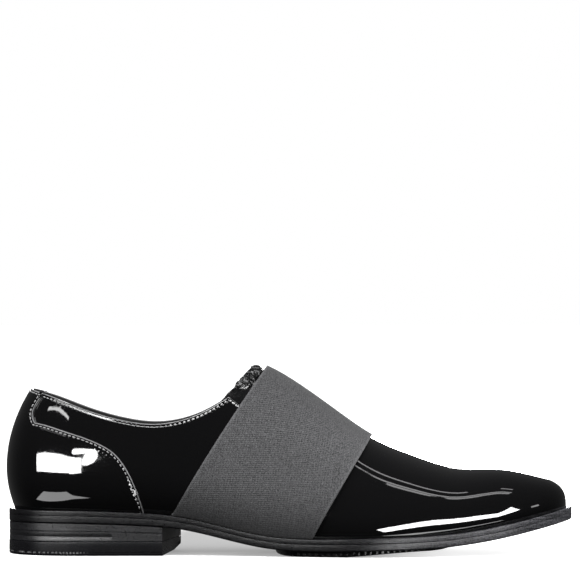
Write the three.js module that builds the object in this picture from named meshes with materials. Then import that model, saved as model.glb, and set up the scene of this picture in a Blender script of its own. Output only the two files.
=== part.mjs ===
// A patent leather slip-on dress shoe for the right foot, with a wide elastic band over the instep.
// Millimetres. +X runs to the toe, +Z is up, and -Y is the outer side of the foot.
// The form is worked out from a shoe last: sections along its length, blended into one smooth skin.
// While it is built, x is 0 at the back of the heel. The group then moves it over its own middle.
import * as THREE from "three";
import { mergeVertices } from "three/addons/utils/BufferGeometryUtils.js";

// Driving sizes of the last and the sole
const SOLE_LENGTH = 304;
const BALL_WIDTH = 104;
const HEEL_WIDTH = 67;
const HEEL_LIFT = 14.8; // heel seat above the ball
const TOE_SPRING = 15.6; // toe tip above the ball
const INSTEP_RISE = 90; // ridge of the last above the feather line, where the upper meets the sole
const BACK_HEIGHT = 64.3; // back of the collar above the heel seat

// Layers of the bottom
const WELT_THICKNESS = 2.7;
const OUTSOLE_THICKNESS = 3.6;
const TREAD_THICKNESS = 3.1;
const TOP_LIFT_THICKNESS = 7.5;
const HEEL_GROOVE_HEIGHT = 13.2;
const HEEL_GROOVE_DEPTH = 0.3;
const INSOLE_THICKNESS = 2.4;
const WELT_RING_WIDTH = 9;
const SEAT_GAP = 0.3; // between two pieces that lie on each other
const TREAD_SINK = 0.6; // how far the tread is pressed flat under the ball

// Margins and edges of the sole
const WELT_MARGIN = 3; // of the welt beyond the upper
const EDGE_BEVEL = 0.5;
const TREAD_MARGIN = 3.5;
const TREAD_BACK = 144;
const TREAD_FRONT = 239;
const TREAD_CORNER = 16;
const HEEL_BREAST_OUTER = 83.5; // length of the heel on the outer side
const HEEL_BREAST_INNER = 92; // and on the inner side
const HEEL_CORNER_BEVEL = 3.5; // at the foot of the breast, on the inner side
const TOP_LIFT_BEVEL = 1.5;

// The upper and what lies on it
const UPPER_WALL = 1.8;
const BACK_FULLEST = 22; // height above the heel seat at which the back is flush with the sole
const BACK_TUCK = 4.6; // from the fullest place in to the foot of the back
const BACK_LEAN = 13.4; // from the fullest place forward to the top of the back
const SIDE_TUCK_SHARE = 0.3; // of the rise, below which the sides draw in to the feather line
const QUARTER_CORNER = 118.8; // where the collar ends and the throat begins
const THROAT_END = 160;
const LAYER_GAP = 0.45; // between two curved pieces
const COUNTER_THICKNESS = 1;
const BAND_WIDTH = 69;
const BAND_THICKNESS = 1.2;
const BAND_ANGLE = 57.7; // of the band's edges from the floor, from the side
const BAND_BACK = 75.9; // where the plane of its back edge meets the floor
const TONGUE_ANGLE = 47.5; // the same for the top edge of the tongue
const TONGUE_BACK = 39.3;
const TONGUE_LENGTH = 42;
const TONGUE_SIDE_TURN = 0.13; // of the arch, by which the tongue's sides reach in below the quarters' corners
const TONGUE_RISE_TURN = 0.12; // over which it rises between them
const TONGUE_GAP = 0.7; // under the upper
const TONGUE_PAD_SHARE = 0.3;
const TONGUE_THICKNESS = 2;
const TONGUE_TOP_THICKNESS = 3.4;

// The ends of the last, which are round in plan
const HEEL_ROUND = 36;
const HEEL_POWER = 2.1;
const NOSE_LENGTH = 42;
const NOSE_WIDTH_POWER = 2.2;
const NOSE_WIDTH_ROOT = 2;
const NOSE_RISE_POWER = 2;
const NOSE_RISE_ROOT = 2.8;

// One row for each section of the last, from heel to toe. The columns are shares:
// at, of the sole's length; lift, of HEEL_LIFT; spring, of TOE_SPRING; ball, how much of the width
// there follows BALL_WIDTH and not HEEL_WIDTH; soleOut, soleIn, bodyOut and bodyIn, the reach of the
// sole and of the fullest line of the upper to each side, of that width; ridge, of INSTEP_RISE;
// axis, the way of the ridge off the middle, of BALL_WIDTH. side and crown are the section's powers.
const SECTION_COLUMNS = [
  "at", "lift", "spring", "ball", "soleOut", "soleIn", "bodyOut", "bodyIn", "ridge", "axis", "side", "crown",
];
const SECTIONS = table(SECTION_COLUMNS, [
  [0.0, 1.0, 0, 0, 0.507, 0.493, 0.53, 0.515, 0.93, 0, 2, 1.6],
  [0.066, 1.0, 0, 0, 0.507, 0.493, 0.533, 0.518, 0.95, 0, 2, 1.6],
  [0.138, 0.99, 0, 0, 0.51, 0.495, 0.537, 0.522, 0.975, 0, 2, 1.6],
  [0.217, 0.93, 0, 0, 0.5, 0.463, 0.534, 0.507, 0.98, 0.005, 2, 1.62],
  [0.303, 0.83, 0, 0.08, 0.472, 0.403, 0.512, 0.478, 0.985, 0.012, 2, 1.6],
  [0.382, 0.42, 0, 0.3, 0.45, 0.358, 0.482, 0.442, 1.005, 0.02, 2, 1.58],
  [0.454, 0.07, 0, 0.55, 0.455, 0.378, 0.472, 0.435, 1.0, 0.03, 2, 1.55],
  [0.52, 0, 0, 0.78, 0.478, 0.426, 0.478, 0.445, 0.868, 0.035, 2.05, 1.6],
  [0.586, 0, 0.01, 0.95, 0.496, 0.472, 0.484, 0.464, 0.704, 0.038, 2.1, 1.75],
  [0.651, 0, 0.05, 1, 0.502, 0.508, 0.486, 0.492, 0.528, 0.04, 2.15, 1.9],
  [0.717, 0, 0.08, 1, 0.471, 0.51, 0.454, 0.492, 0.441, 0.038, 2.2, 2],
  [0.783, 0, 0.14, 1, 0.408, 0.455, 0.391, 0.438, 0.352, 0.034, 2.25, 2.05],
  [0.849, 0, 0.32, 1, 0.34, 0.388, 0.324, 0.372, 0.333, 0.03, 2.3, 2.1],
  [0.914, 0, 0.585, 1, 0.286, 0.332, 0.272, 0.316, 0.263, 0.027, 2.3, 2.1],
  [1.0, 0, 1.0, 1, 0.252, 0.291, 0.238, 0.276, 0.25, 0.025, 2.3, 2.1],
]);

// The collar from the back to the quarter's corner: at, of the way along; up, of BACK_HEIGHT.
const COLLAR_START = 11.9;
const COLLAR = table(["at", "up"], [
  [0, 0.995], [0.12, 0.925], [0.29, 0.805], [0.47, 0.723],
  [0.635, 0.682], [0.79, 0.73], [0.905, 0.81], [1, 0.92],
]);

// The edge of the throat, under the band: at, of the way from the quarter's corner to the throat's end;
// turn, of the way up the arch from the corner to the ridge.
const THROAT = table(["at", "turn"], [
  [0, 0], [0.16, -0.09], [0.36, -0.1], [0.6, -0.02], [0.8, 0.18], [0.92, 0.42], [0.98, 0.7], [1, 1],
]);

// The counter's seam on the side, from its back corner down to the welt: at, of COUNTER_LENGTH;
// up, of the way from the feather line to the back of the collar.
const COUNTER_LENGTH = 73.6;
const COUNTER_SEAM = table(["at", "up"], [
  [0.215, 0.717], [0.3, 0.7], [0.43, 0.648], [0.565, 0.602], [0.68, 0.55], [0.78, 0.49],
  [0.85, 0.4], [0.91, 0.29], [0.955, 0.17], [0.985, 0.08], [1, 0.02],
]);
// The edge of the counter's tail, from the seam to the collar: at, of the way up; turn, of a quarter
// turn from the side of the heel to the middle of its back.
const COUNTER_TAIL = table(["at", "turn"], [[0, 0.44], [0.17, 0.5], [0.4, 0.535], [0.7, 0.5], [1, 0.455]]);

// How finely the skins are cut into faces
const HEEL_STEPS = 7;
const QUARTER_STEPS = 9;
const THROAT_STEPS = 10;
const VAMP_STEPS = 10;
const NOSE_STEPS = 8;
const ARCH_ROWS = 13;
const BAND_COLUMNS = 8;
const BAND_ROWS = 16;
const COUNTER_ROWS = 8;
const SEAM_STEPS = 13;
const TAIL_STEPS = 4;
const TAIL_ROWS = 4;
const TONGUE_COLUMNS = 6;
const TONGUE_ROWS = 10;

const QUARTER_TURN = Math.PI / 2;
const NOSE_START = SOLE_LENGTH - NOSE_LENGTH;
const UPPER_TIP = SOLE_LENGTH - WELT_MARGIN;
const SOLE_EDGE = SEAT_GAP + WELT_THICKNESS + SEAT_GAP + OUTSOLE_THICKNESS;
const BALL_HEIGHT = SOLE_EDGE + SEAT_GAP + TREAD_THICKNESS - TREAD_SINK; // feather line at the ball
const SEAT_HEIGHT = BALL_HEIGHT + HEEL_LIFT;

// Rows of bare values with the names of their columns.
function table(columns, rows) {
  return rows.map((row) => Object.fromEntries(columns.map((name, i) => [name, row[i]])));
}

// Column name of rows at place u, on a uniform cubic B-spline, which smooths the rows as it blends them.
function blend(rows, name, u) {
  const last = rows.length - 1;
  const value = (i) => {
    if (i < 0) return 2 * rows[0][name] - rows[1][name];
    if (i > last) return 2 * rows[last][name] - rows[last - 1][name];
    return rows[i][name];
  };
  const i = Math.min(Math.floor(u), last - 1);
  const f = u - i;
  const weights = [(1 - f) ** 3, 3 * f ** 3 - 6 * f ** 2 + 4, -3 * f ** 3 + 3 * f ** 2 + 3 * f + 1, f ** 3];
  return weights.reduce((sum, w, k) => sum + (w * value(i - 1 + k)) / 6, 0);
}

// The argument between low and high at which the rising function f reaches target.
function solve(f, target, low, high) {
  for (let i = 0; i < 50; i++) {
    const middle = (low + high) / 2;
    if (f(middle) < target) low = middle;
    else high = middle;
  }
  return (low + high) / 2;
}

const clamp = THREE.MathUtils.clamp;
const lerp = THREE.MathUtils.lerp;
const steps = (from, to, count) => Array.from({ length: count }, (_, i) => lerp(from, to, (i + 1) / count));
const endRound = (t, power, root) => Math.max(0, 1 - Math.min(1, t) ** power) ** (1 / root);

// The section of the last at x, in millimetres.
const known = new Map();
function sectionAt(x) {
  const key = Math.round(x * 1e4);
  if (known.has(key)) return known.get(key);
  const last = SECTIONS.length - 1;
  const share = clamp(x / SOLE_LENGTH, 0, 1);
  const u = solve((v) => blend(SECTIONS, "at", v), share, 0, last);
  const row = Object.fromEntries(SECTION_COLUMNS.map((name) => [name, blend(SECTIONS, name, u)]));
  const width = lerp(HEEL_WIDTH, BALL_WIDTH, row.ball);
  const axis = row.axis * BALL_WIDTH;
  const section = {
    axis,
    feather: BALL_HEIGHT + row.lift * HEEL_LIFT + row.spring * TOE_SPRING,
    rise: row.ridge * INSTEP_RISE,
    sole: { "-1": row.soleOut * width + axis, 1: row.soleIn * width - axis },
    body: { "-1": row.bodyOut * width + axis, 1: row.bodyIn * width - axis },
    side: row.side,
    crown: row.crown,
  };
  known.set(key, section);
  return section;
}

// How far the back of the upper lies in from the back of the sole, at a height above the heel seat.
function backAt(height) {
  const away = height - BACK_FULLEST;
  if (away < 0) return BACK_TUCK * (away / BACK_FULLEST) ** 2;
  return BACK_LEAN * (away / (BACK_HEIGHT - BACK_FULLEST)) ** 2;
}

// s runs along the shoe from the middle of the back to the tip of the toe: as an angle round the heel,
// then straight, then as an angle round the nose. back and tip are the ends in x.
const S_BACK = -HEEL_ROUND * QUARTER_TURN;
const S_NOSE = NOSE_START - HEEL_ROUND;
function alongAt(s, back, tip) {
  if (s < 0) {
    const t = Math.sin(Math.min(-s / HEEL_ROUND, QUARTER_TURN));
    return { x: HEEL_ROUND - t * (HEEL_ROUND - back), heel: t, nose: 0 };
  }
  if (s <= S_NOSE) return { x: HEEL_ROUND + s, heel: 0, nose: 0 };
  const length = tip - NOSE_START;
  const t = Math.sin(Math.min((s - S_NOSE) / length, QUARTER_TURN));
  return { x: NOSE_START + t * length, heel: 0, nose: t };
}
const sTip = (tip) => S_NOSE + (tip - NOSE_START) * QUARTER_TURN;
const S_TIP = sTip(UPPER_TIP);
const sOfX = (x) => x - HEEL_ROUND;

// The outer skin of the last at s, on one side (-1 outer, 1 inner) and at angle a of the arch,
// which is 0 at the feather line and a quarter turn at the ridge.
function skin(s, side, a) {
  let height = 0;
  let place;
  let section;
  for (let i = 0; i < 6; i++) {
    place = alongAt(s, backAt(height), UPPER_TIP);
    section = sectionAt(place.x);
    const rise = section.rise * endRound(place.nose, NOSE_RISE_POWER, NOSE_RISE_ROOT);
    height = rise * Math.sin(a) ** (2 / section.crown);
    if (s >= 0) break;
  }
  const fullest = section.body[side];
  const tuck = fullest - (section.sole[side] - WELT_MARGIN);
  const tuckHeight = SIDE_TUCK_SHARE * section.rise;
  const drawn = tuck * Math.max(0, 1 - height / tuckHeight) ** 3;
  const round = endRound(place.heel, HEEL_POWER, HEEL_POWER)
    * endRound(place.nose, NOSE_WIDTH_POWER, NOSE_WIDTH_ROOT);
  const half = (fullest * Math.max(0, Math.cos(a)) ** (2 / section.side) - drawn) * round;
  return new THREE.Vector3(place.x, section.axis + side * Math.max(0, half), section.feather + height);
}

// The way out of the skin there. Where the two sides meet, on the ridge and down the back, they share
// one that has no sideways part.
const STEP_S = 0.05;
const STEP_A = 0.01;
const TINY = 1e-6;
function slope(s, side, a) {
  const sLow = clamp(s - STEP_S, S_BACK, S_TIP - 3 * STEP_S);
  const aLow = clamp(a - STEP_A, 0, QUARTER_TURN - 3 * STEP_A);
  const along = skin(sLow + 2 * STEP_S, side, a).sub(skin(sLow, side, a));
  const up = skin(s, side, aLow + 2 * STEP_A).sub(skin(s, side, aLow));
  return up.cross(along).multiplyScalar(side).normalize();
}
function outward(s, side, a) {
  if (s > S_TIP - STEP_S) return new THREE.Vector3(1, 0, 0);
  const shared = a > QUARTER_TURN - TINY || s < S_BACK + TINY;
  const out = shared ? slope(s, -1, a).add(slope(s, 1, a)).setY(0) : slope(s, side, a);
  return (a < TINY ? out.setZ(0) : out).normalize();
}

// A point of the skin moved outward by a distance, but not below the feather line.
function lifted(s, side, a, by) {
  const point = skin(s, side, a).addScaledVector(outward(s, side, a), by);
  point.z = Math.max(point.z, skin(s, side, 0).z);
  return point;
}

// The angle of the arch at which the skin at s reaches height z.
const angleAt = (s, side, z) => solve((a) => skin(s, side, a).z, z, 0, QUARTER_TURN);

// The height of the collar at x, and the angle of the arch at the edge of the opening.
function collarHeight(x) {
  const share = clamp((x - COLLAR_START) / (QUARTER_CORNER - COLLAR_START), 0, 1);
  const u = solve((v) => blend(COLLAR, "at", v), share, 0, COLLAR.length - 1);
  return SEAT_HEIGHT + blend(COLLAR, "up", u) * BACK_HEIGHT;
}
function openingAngle(s, side) {
  const corner = sOfX(QUARTER_CORNER);
  if (s <= corner) {
    return solve((a) => {
      const p = skin(s, side, a);
      return p.z - collarHeight(p.x);
    }, 0, 0, QUARTER_TURN);
  }
  const share = (s - corner) / (THROAT_END - QUARTER_CORNER);
  if (share > 1 - TINY) return QUARTER_TURN;
  const u = solve((v) => blend(THROAT, "at", v), share, 0, THROAT.length - 1);
  return lerp(openingAngle(corner, side), QUARTER_TURN, blend(THROAT, "turn", u));
}

// A closed mesh from triangles of points. Triangles that close up to a line are dropped.
function closed(triangles) {
  const loose = new THREE.BufferGeometry().setFromPoints(triangles.flat());
  const merged = mergeVertices(loose, 1e-4);
  const at = new THREE.Vector3().fromBufferAttribute.bind(new THREE.Vector3());
  const index = [];
  let volume = 0;
  for (let i = 0; i < merged.index.count; i += 3) {
    const corners = [0, 1, 2].map((k) => merged.index.getX(i + k));
    if (new Set(corners).size < 3) continue;
    const [a, b, c] = corners.map((k) => at(merged.attributes.position, k).clone());
    volume += a.dot(b.cross(c));
    index.push(...corners);
  }
  merged.setIndex(volume < 0 ? index.reverse() : index);
  return merged;
}

const quad = (a, b, c, d) => [[a, b, c], [a, c, d]];

// The faces between two rows of points.
function strip(first, second) {
  const faces = [];
  for (let i = 0; i + 1 < first.length; i++) {
    faces.push(...quad(first[i], second[i], second[i + 1], first[i + 1]));
  }
  return faces;
}

// A wall between two grids of points: faces out, faces in, and a rim along every open edge.
// Columns may be of unequal length, and edges that lie on each other are joined.
function wall(outer, inner) {
  const faces = [];
  const open = new Map();
  const name = (p) => p.toArray().map((v) => Math.round(v * 1e4)).join();
  const addCell = (cell) => {
    const [out, back] = [outer, inner].map((grid) => cell.map(([i, j]) => grid[i][j]));
    faces.push(...quad(...out), ...quad(...back.toReversed()));
    out.forEach((p, k) => {
      const next = (k + 1) % cell.length;
      const [here, there] = [name(p), name(out[next])];
      if (here === there) return;
      if (!open.delete(there + " " + here)) open.set(here + " " + there, [out[next], p, back[k], back[next]]);
    });
  };
  for (let i = 0; i + 1 < outer.length; i++) {
    for (let j = 0; j + 1 < Math.min(outer[i].length, outer[i + 1].length); j++) {
      addCell([[i, j], [i + 1, j], [i + 1, j + 1], [i, j + 1]]);
    }
  }
  for (const rim of open.values()) faces.push(...quad(...rim));
  return closed(faces);
}

// Columns from the front of the outer side, round the back, to the front of the inner side.
const roundTheBack = (places) => [
  ...places.toReversed().map((place) => [place, -1]),
  ...places.slice(1).map((place) => [place, 1]),
];

// The upper: one hollow wall over the last, open at the collar and throat and underneath.
function upper() {
  const corner = sOfX(QUARTER_CORNER);
  const throat = sOfX(THROAT_END);
  const places = [
    S_BACK,
    ...steps(S_BACK, 0, HEEL_STEPS),
    ...steps(0, corner, QUARTER_STEPS),
    ...steps(0, QUARTER_TURN, THROAT_STEPS).map((turn) => {
      return lerp(corner, throat, blend(THROAT, "at", Math.sin(turn) * (THROAT.length - 1)));
    }),
    ...steps(throat, S_NOSE, VAMP_STEPS),
    ...steps(S_NOSE, S_TIP, NOSE_STEPS),
  ];
  const grid = (depth) => roundTheBack(places).map(([s, side]) => {
    return [0, ...steps(0, openingAngle(s, side), ARCH_ROWS)].map((a) => lifted(s, side, a, -depth));
  });
  return wall(grid(0), grid(UPPER_WALL));
}

// A place on the counter's seam: s, and the height there.
function seamAt(u) {
  const x = blend(COUNTER_SEAM, "at", u) * COUNTER_LENGTH;
  const z = lerp(sectionAt(x).feather, SEAT_HEIGHT + BACK_HEIGHT, blend(COUNTER_SEAM, "up", u));
  const turn = Math.asin(Math.max(0, HEEL_ROUND - x) / (HEEL_ROUND - backAt(z - SEAT_HEIGHT)));
  return { s: x > HEEL_ROUND ? sOfX(x) : -HEEL_ROUND * turn, z };
}

// The counter: an overlay round the back of the heel, with a curved seam down each side. Its body ends
// at the seam, and over the seam's back corner its tail goes on up the back to the collar.
function counter() {
  const last = COUNTER_SEAM.length - 1;
  const start = seamAt(0);
  const tailEdge = (up) => {
    const u = solve((v) => blend(COUNTER_TAIL, "at", v), up, 0, COUNTER_TAIL.length - 1);
    return -HEEL_ROUND * QUARTER_TURN * blend(COUNTER_TAIL, "turn", u);
  };
  const places = [
    { s: S_BACK, z: start.z, share: 0 },
    ...steps(0, 1, TAIL_STEPS).map((share) => ({ s: lerp(S_BACK, start.s, share), z: start.z, share })),
    ...steps(0, last, SEAM_STEPS).map(seamAt),
  ];
  const column = ({ s, z, share }, side, lift) => {
    const top = angleAt(s, side, z);
    const body = [0, ...steps(0, top, COUNTER_ROWS)].map((a) => lifted(s, side, a, lift));
    if (share === undefined) return body;
    const tail = steps(0, 1, TAIL_ROWS).map((up) => {
      const there = lerp(S_BACK, tailEdge(up), share);
      return lifted(there, side, lerp(top, openingAngle(there, side), up), lift);
    });
    return [...body, ...tail];
  };
  const grid = (lift) => roundTheBack(places).map(([place, side]) => column(place, side, lift));
  return wall(grid(LAYER_GAP + COUNTER_THICKNESS), grid(LAYER_GAP));
}

// A strap over the last between two slanting planes, from one arch angle over the ridge to the other.
// Its back plane meets the floor at foot. outside and inside are its lifts off the skin.
function strap({ foot, angle, width, columns, rows, lowest, outside, inside }) {
  const slant = 1 / Math.tan(THREE.MathUtils.degToRad(angle));
  const run = width / Math.sin(THREE.MathUtils.degToRad(angle));
  const crossing = (start, side, a) => solve((s) => {
    const p = skin(s, side, a);
    return p.x - p.z * slant;
  }, start, S_BACK, S_TIP);
  const grid = (lift) => [0, ...steps(0, 1, columns)].map((share) => {
    const half = (side) => [0, ...steps(0, 1, rows)].map((up) => {
      const a = lerp(lowest, QUARTER_TURN, up);
      return lifted(crossing(foot + share * run, side, a), side, a, lift(share, a));
    });
    return [...half(-1), ...half(1).toReversed().slice(1)];
  });
  return wall(grid(outside), grid(inside));
}

// The tongue: under the throat, showing behind the band. Its sides lie inside the quarters. Between
// them it rises towards its top edge to the face of the upper, and gets thicker, where it is padded.
function tongue() {
  const hidden = -UPPER_WALL - TONGUE_GAP;
  const corner = openingAngle(sOfX(QUARTER_CORNER), -1);
  const padded = (share, a) => {
    return clamp(1 - share / TONGUE_PAD_SHARE, 0, 1) * clamp((a - corner) / TONGUE_RISE_TURN, 0, 1);
  };
  const outside = (share, a) => lerp(hidden, -LAYER_GAP, padded(share, a));
  return strap({
    foot: TONGUE_BACK,
    angle: TONGUE_ANGLE,
    width: TONGUE_LENGTH,
    columns: TONGUE_COLUMNS,
    rows: TONGUE_ROWS,
    lowest: corner - TONGUE_SIDE_TURN,
    outside,
    inside: (share, a) => outside(share, a) - lerp(TONGUE_THICKNESS, TONGUE_TOP_THICKNESS, padded(share, a)),
  });
}

// The band: elastic, stretched over the instep, with its ends between the upper and the welt.
function band() {
  return strap({
    foot: BAND_BACK,
    angle: BAND_ANGLE,
    width: BAND_WIDTH,
    columns: BAND_COLUMNS,
    rows: BAND_ROWS,
    lowest: 0,
    outside: () => LAYER_GAP + BAND_THICKNESS,
    inside: () => LAYER_GAP,
  });
}

// The sole's outline in plan, drawn in by inset: where s and side put a point of it.
function outline(s, side, inset, back = 0, tip = SOLE_LENGTH) {
  const place = alongAt(s, back + inset, tip - inset);
  const section = sectionAt(place.x);
  const round = endRound(place.heel, HEEL_POWER, HEEL_POWER)
    * endRound(place.nose, NOSE_WIDTH_POWER, NOSE_WIDTH_ROOT);
  return { x: place.x, y: section.axis + side * (section.sole[side] - inset) * round };
}
const soleS = (share, inset) => {
  const tip = sTip(SOLE_LENGTH - inset);
  return lerp(S_BACK, tip, share);
};

// A layer of the bottom from rings, each a function of x for its height and an inset from the outline.
// ring(level, side) gives the points of one side from end to end.
function layer(levels, ring) {
  const rings = levels.map((level) => [ring(level, -1), ring(level, 1)]);
  const faces = [];
  for (let k = 0; k + 1 < rings.length; k++) {
    faces.push(...strip(rings[k][0], rings[k + 1][0]));
    faces.push(...strip(rings[k + 1][1], rings[k][1]));
  }
  const [top, foot] = [rings[0], rings.at(-1)];
  faces.push(...strip(top[1], top[0]), ...strip(foot[0], foot[1]));
  for (const end of [0, -1]) {
    const edge = (side) => rings.map((r) => r[side].at(end));
    faces.push(...(end ? strip(edge(1), edge(0)) : strip(edge(0), edge(1))));
  }
  return closed(faces);
}

const SOLE_STEPS = 44;
const wholeShares = [0, ...steps(0, 1, SOLE_STEPS)];
const wholeRing = ({ inset, drop, back = 0 }, side) => wholeShares.map((share) => {
  const p = outline(soleS(share, inset), side, inset, back);
  return new THREE.Vector3(p.x, p.y, sectionAt(p.x).feather - drop);
});

// The edge of a layer between two depths under the feather line, with a small bevel at both corners.
const bevelled = (top, foot) => [
  { inset: EDGE_BEVEL, drop: top },
  { inset: 0, drop: top + EDGE_BEVEL },
  { inset: 0, drop: foot - EDGE_BEVEL },
  { inset: EDGE_BEVEL, drop: foot },
];

const WELT_TOP = SEAT_GAP;
const WELT_FOOT = WELT_TOP + WELT_THICKNESS;
const OUTSOLE_TOP = WELT_FOOT + SEAT_GAP;

const outsole = () => layer(bevelled(OUTSOLE_TOP, SOLE_EDGE), wholeRing);

// The welt: a ring round the foot of the upper, between it and the outsole.
function welt() {
  const hole = [
    { inset: WELT_RING_WIDTH, drop: WELT_FOOT },
    { inset: WELT_RING_WIDTH, drop: WELT_TOP },
  ];
  const levels = [...bevelled(WELT_TOP, WELT_FOOT), ...hole];
  const rings = levels.map((level) => [wholeRing(level, -1), wholeRing(level, 1)]);
  const faces = [];
  rings.forEach((ring, k) => {
    const next = rings[(k + 1) % rings.length];
    faces.push(...strip(ring[0], next[0]), ...strip(next[1], ring[1]));
  });
  return closed(faces);
}

// The insole: a plate inside the upper with a lower plug that fills the welt's ring.
function insole() {
  const rim = WELT_MARGIN + UPPER_WALL + LAYER_GAP;
  const back = BACK_TUCK - WELT_MARGIN;
  const plug = WELT_RING_WIDTH + LAYER_GAP;
  return layer([
    { inset: rim, back, drop: -INSOLE_THICKNESS },
    { inset: rim, back, drop: 0 },
    { inset: plug, drop: 0 },
    { inset: plug, drop: WELT_FOOT },
  ], wholeRing);
}

// The heel: layers cut off at the breast, which slants from the outer to the inner side.
const HEEL_LAYER_STEPS = 20;
function heelLayer(levels) {
  return layer(levels, ({ inset, height, breast = 0 }, side) => {
    const end = sOfX(side < 0 ? HEEL_BREAST_OUTER : HEEL_BREAST_INNER - breast);
    return [S_BACK, ...steps(S_BACK, end, HEEL_LAYER_STEPS)].map((s) => {
      const p = outline(s, side, inset);
      return new THREE.Vector3(p.x, p.y, height(p.x));
    });
  });
}
const flat = (z) => () => z;
const TOP_LIFT_TOP = TOP_LIFT_THICKNESS;
const heelBlock = () => heelLayer([
  { inset: 0.2, height: (x) => sectionAt(x).feather - SOLE_EDGE - SEAT_GAP },
  { inset: 0.2, height: flat(HEEL_GROOVE_HEIGHT + HEEL_GROOVE_DEPTH) },
  { inset: 0.2 + HEEL_GROOVE_DEPTH, height: flat(HEEL_GROOVE_HEIGHT) },
  { inset: 0.2, height: flat(HEEL_GROOVE_HEIGHT - HEEL_GROOVE_DEPTH) },
  { inset: 0.2, height: flat(TOP_LIFT_TOP + SEAT_GAP) },
]);
const topLift = () => heelLayer([
  { inset: 0, height: flat(TOP_LIFT_TOP) },
  { inset: 0, height: flat(HEEL_CORNER_BEVEL) },
  { inset: 0, height: flat(TOP_LIFT_BEVEL), breast: HEEL_CORNER_BEVEL },
  { inset: TOP_LIFT_BEVEL, height: flat(0), breast: HEEL_CORNER_BEVEL },
]);

// The tread: a thin rubber pad under the ball, pressed flat where the shoe stands on it.
const TREAD_STEPS = 24;
function tread() {
  const middle = (TREAD_BACK + TREAD_FRONT) / 2;
  const reach = (TREAD_FRONT - TREAD_BACK) / 2;
  const flatLength = reach - TREAD_CORNER;
  const ring = ({ inset, height }, side) => [-1, ...steps(-1, 1, TREAD_STEPS)].map((turn) => {
    const angle = turn * QUARTER_TURN;
    const x = middle + Math.sin(angle) * (reach - inset + TREAD_MARGIN);
    const corner = Math.max(0, (Math.abs(x - middle) - flatLength) / (TREAD_CORNER - inset + TREAD_MARGIN));
    const section = sectionAt(x);
    const half = (section.sole[side] - inset) * endRound(corner, 2.4, 2.4);
    return new THREE.Vector3(x, section.axis + side * half, height(x));
  });
  const soleFoot = (x) => sectionAt(x).feather - SOLE_EDGE - SEAT_GAP;
  const foot = (x) => Math.max(0, soleFoot(x) - TREAD_THICKNESS);
  return layer([
    { inset: TREAD_MARGIN, height: soleFoot },
    { inset: TREAD_MARGIN, height: (x) => lerp(soleFoot(x), foot(x), 0.7) },
    { inset: TREAD_MARGIN + EDGE_BEVEL, height: foot },
  ], ring);
}

const PATENT = { color: 0x0b0b0c, roughness: 0.06, metalness: 0 };
const RUBBER = { color: 0x191a1d, roughness: 0.55, metalness: 0 };
const EDGE_INK = { color: 0x15161a, roughness: 0.35, metalness: 0 };
const PIECES = [
  ["upper", upper, PATENT],
  ["heel_counter", counter, PATENT],
  ["tongue", tongue, PATENT],
  ["elastic_band", band, { color: 0x5f5f61, roughness: 0.95, metalness: 0 }],
  ["insole", insole, { color: 0x1d1c1c, roughness: 0.7, metalness: 0 }],
  ["welt", welt, EDGE_INK],
  ["outsole", outsole, EDGE_INK],
  ["heel_block", heelBlock, EDGE_INK],
  ["top_lift", topLift, RUBBER],
  ["forefoot_tread", tread, RUBBER],
];

const shoe = new THREE.Group();
for (const [name, make, finish] of PIECES) {
  const piece = new THREE.Mesh(make(), new THREE.MeshStandardMaterial(finish));
  piece.name = name;
  shoe.add(piece);
}

// The origin is on the floor, under the middle of the shoe's box.
const middle = new THREE.Box3().setFromObject(shoe).getCenter(new THREE.Vector3());
shoe.position.set(-middle.x, -middle.y, 0);

export default shoe;
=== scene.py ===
# A patent leather slip-on dress shoe for the right foot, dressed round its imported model.
# The last is worked out in millimetres, x from the back of the sole. Meshes are in metres.
import math

import bpy
import numpy as np
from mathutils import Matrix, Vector
from mathutils.kdtree import KDTree


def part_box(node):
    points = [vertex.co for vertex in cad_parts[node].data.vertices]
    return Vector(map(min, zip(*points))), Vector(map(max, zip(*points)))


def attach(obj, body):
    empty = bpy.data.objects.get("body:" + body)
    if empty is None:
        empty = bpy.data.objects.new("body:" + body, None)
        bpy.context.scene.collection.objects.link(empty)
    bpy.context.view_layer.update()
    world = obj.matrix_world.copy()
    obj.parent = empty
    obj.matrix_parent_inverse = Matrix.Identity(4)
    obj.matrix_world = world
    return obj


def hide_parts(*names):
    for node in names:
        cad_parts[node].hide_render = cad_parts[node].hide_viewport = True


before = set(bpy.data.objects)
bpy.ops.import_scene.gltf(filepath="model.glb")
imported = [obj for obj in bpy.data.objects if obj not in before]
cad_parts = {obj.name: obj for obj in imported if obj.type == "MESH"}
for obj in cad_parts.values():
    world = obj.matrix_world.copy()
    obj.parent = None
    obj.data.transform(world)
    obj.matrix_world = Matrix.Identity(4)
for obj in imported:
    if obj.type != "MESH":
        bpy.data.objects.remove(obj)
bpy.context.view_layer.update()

MM = 0.001
QUARTER_TURN = math.pi / 2
FULL_TURN = 2 * math.pi

# Sizes of the last and the sole, in millimetres
SOLE_LENGTH = 304
BALL_WIDTH = 104
HEEL_WIDTH = 67
HEEL_LIFT = 14.8
TOE_SPRING = 15.6
INSTEP_HEIGHT = 90
BACK_HEIGHT = 64.3
WELT_THICKNESS = 2.7
OUTSOLE_THICKNESS = 3.6
TREAD_THICKNESS = 3.1
TREAD_SINK = 0.6
TOP_LIFT_THICKNESS = 7.5
HEEL_GROOVE_HEIGHT = 13.2
SEAT_GAP = 0.3
WELT_RING_WIDTH = 9
WELT_MARGIN = 3
TREAD_MARGIN = 3.5
TREAD_BACK = 144
TREAD_FRONT = 239
TREAD_CORNER = 16
TREAD_THINS_AT = 168
TREAD_FRONT_THINNING = 2.2
HEEL_BREAST_OUTER = 83.5
HEEL_BREAST_INNER = 92
HEEL_CORNER_BEVEL = 3.5
TEETH_PITCH = 1.8
TEETH_DEPTH = 0.42
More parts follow.
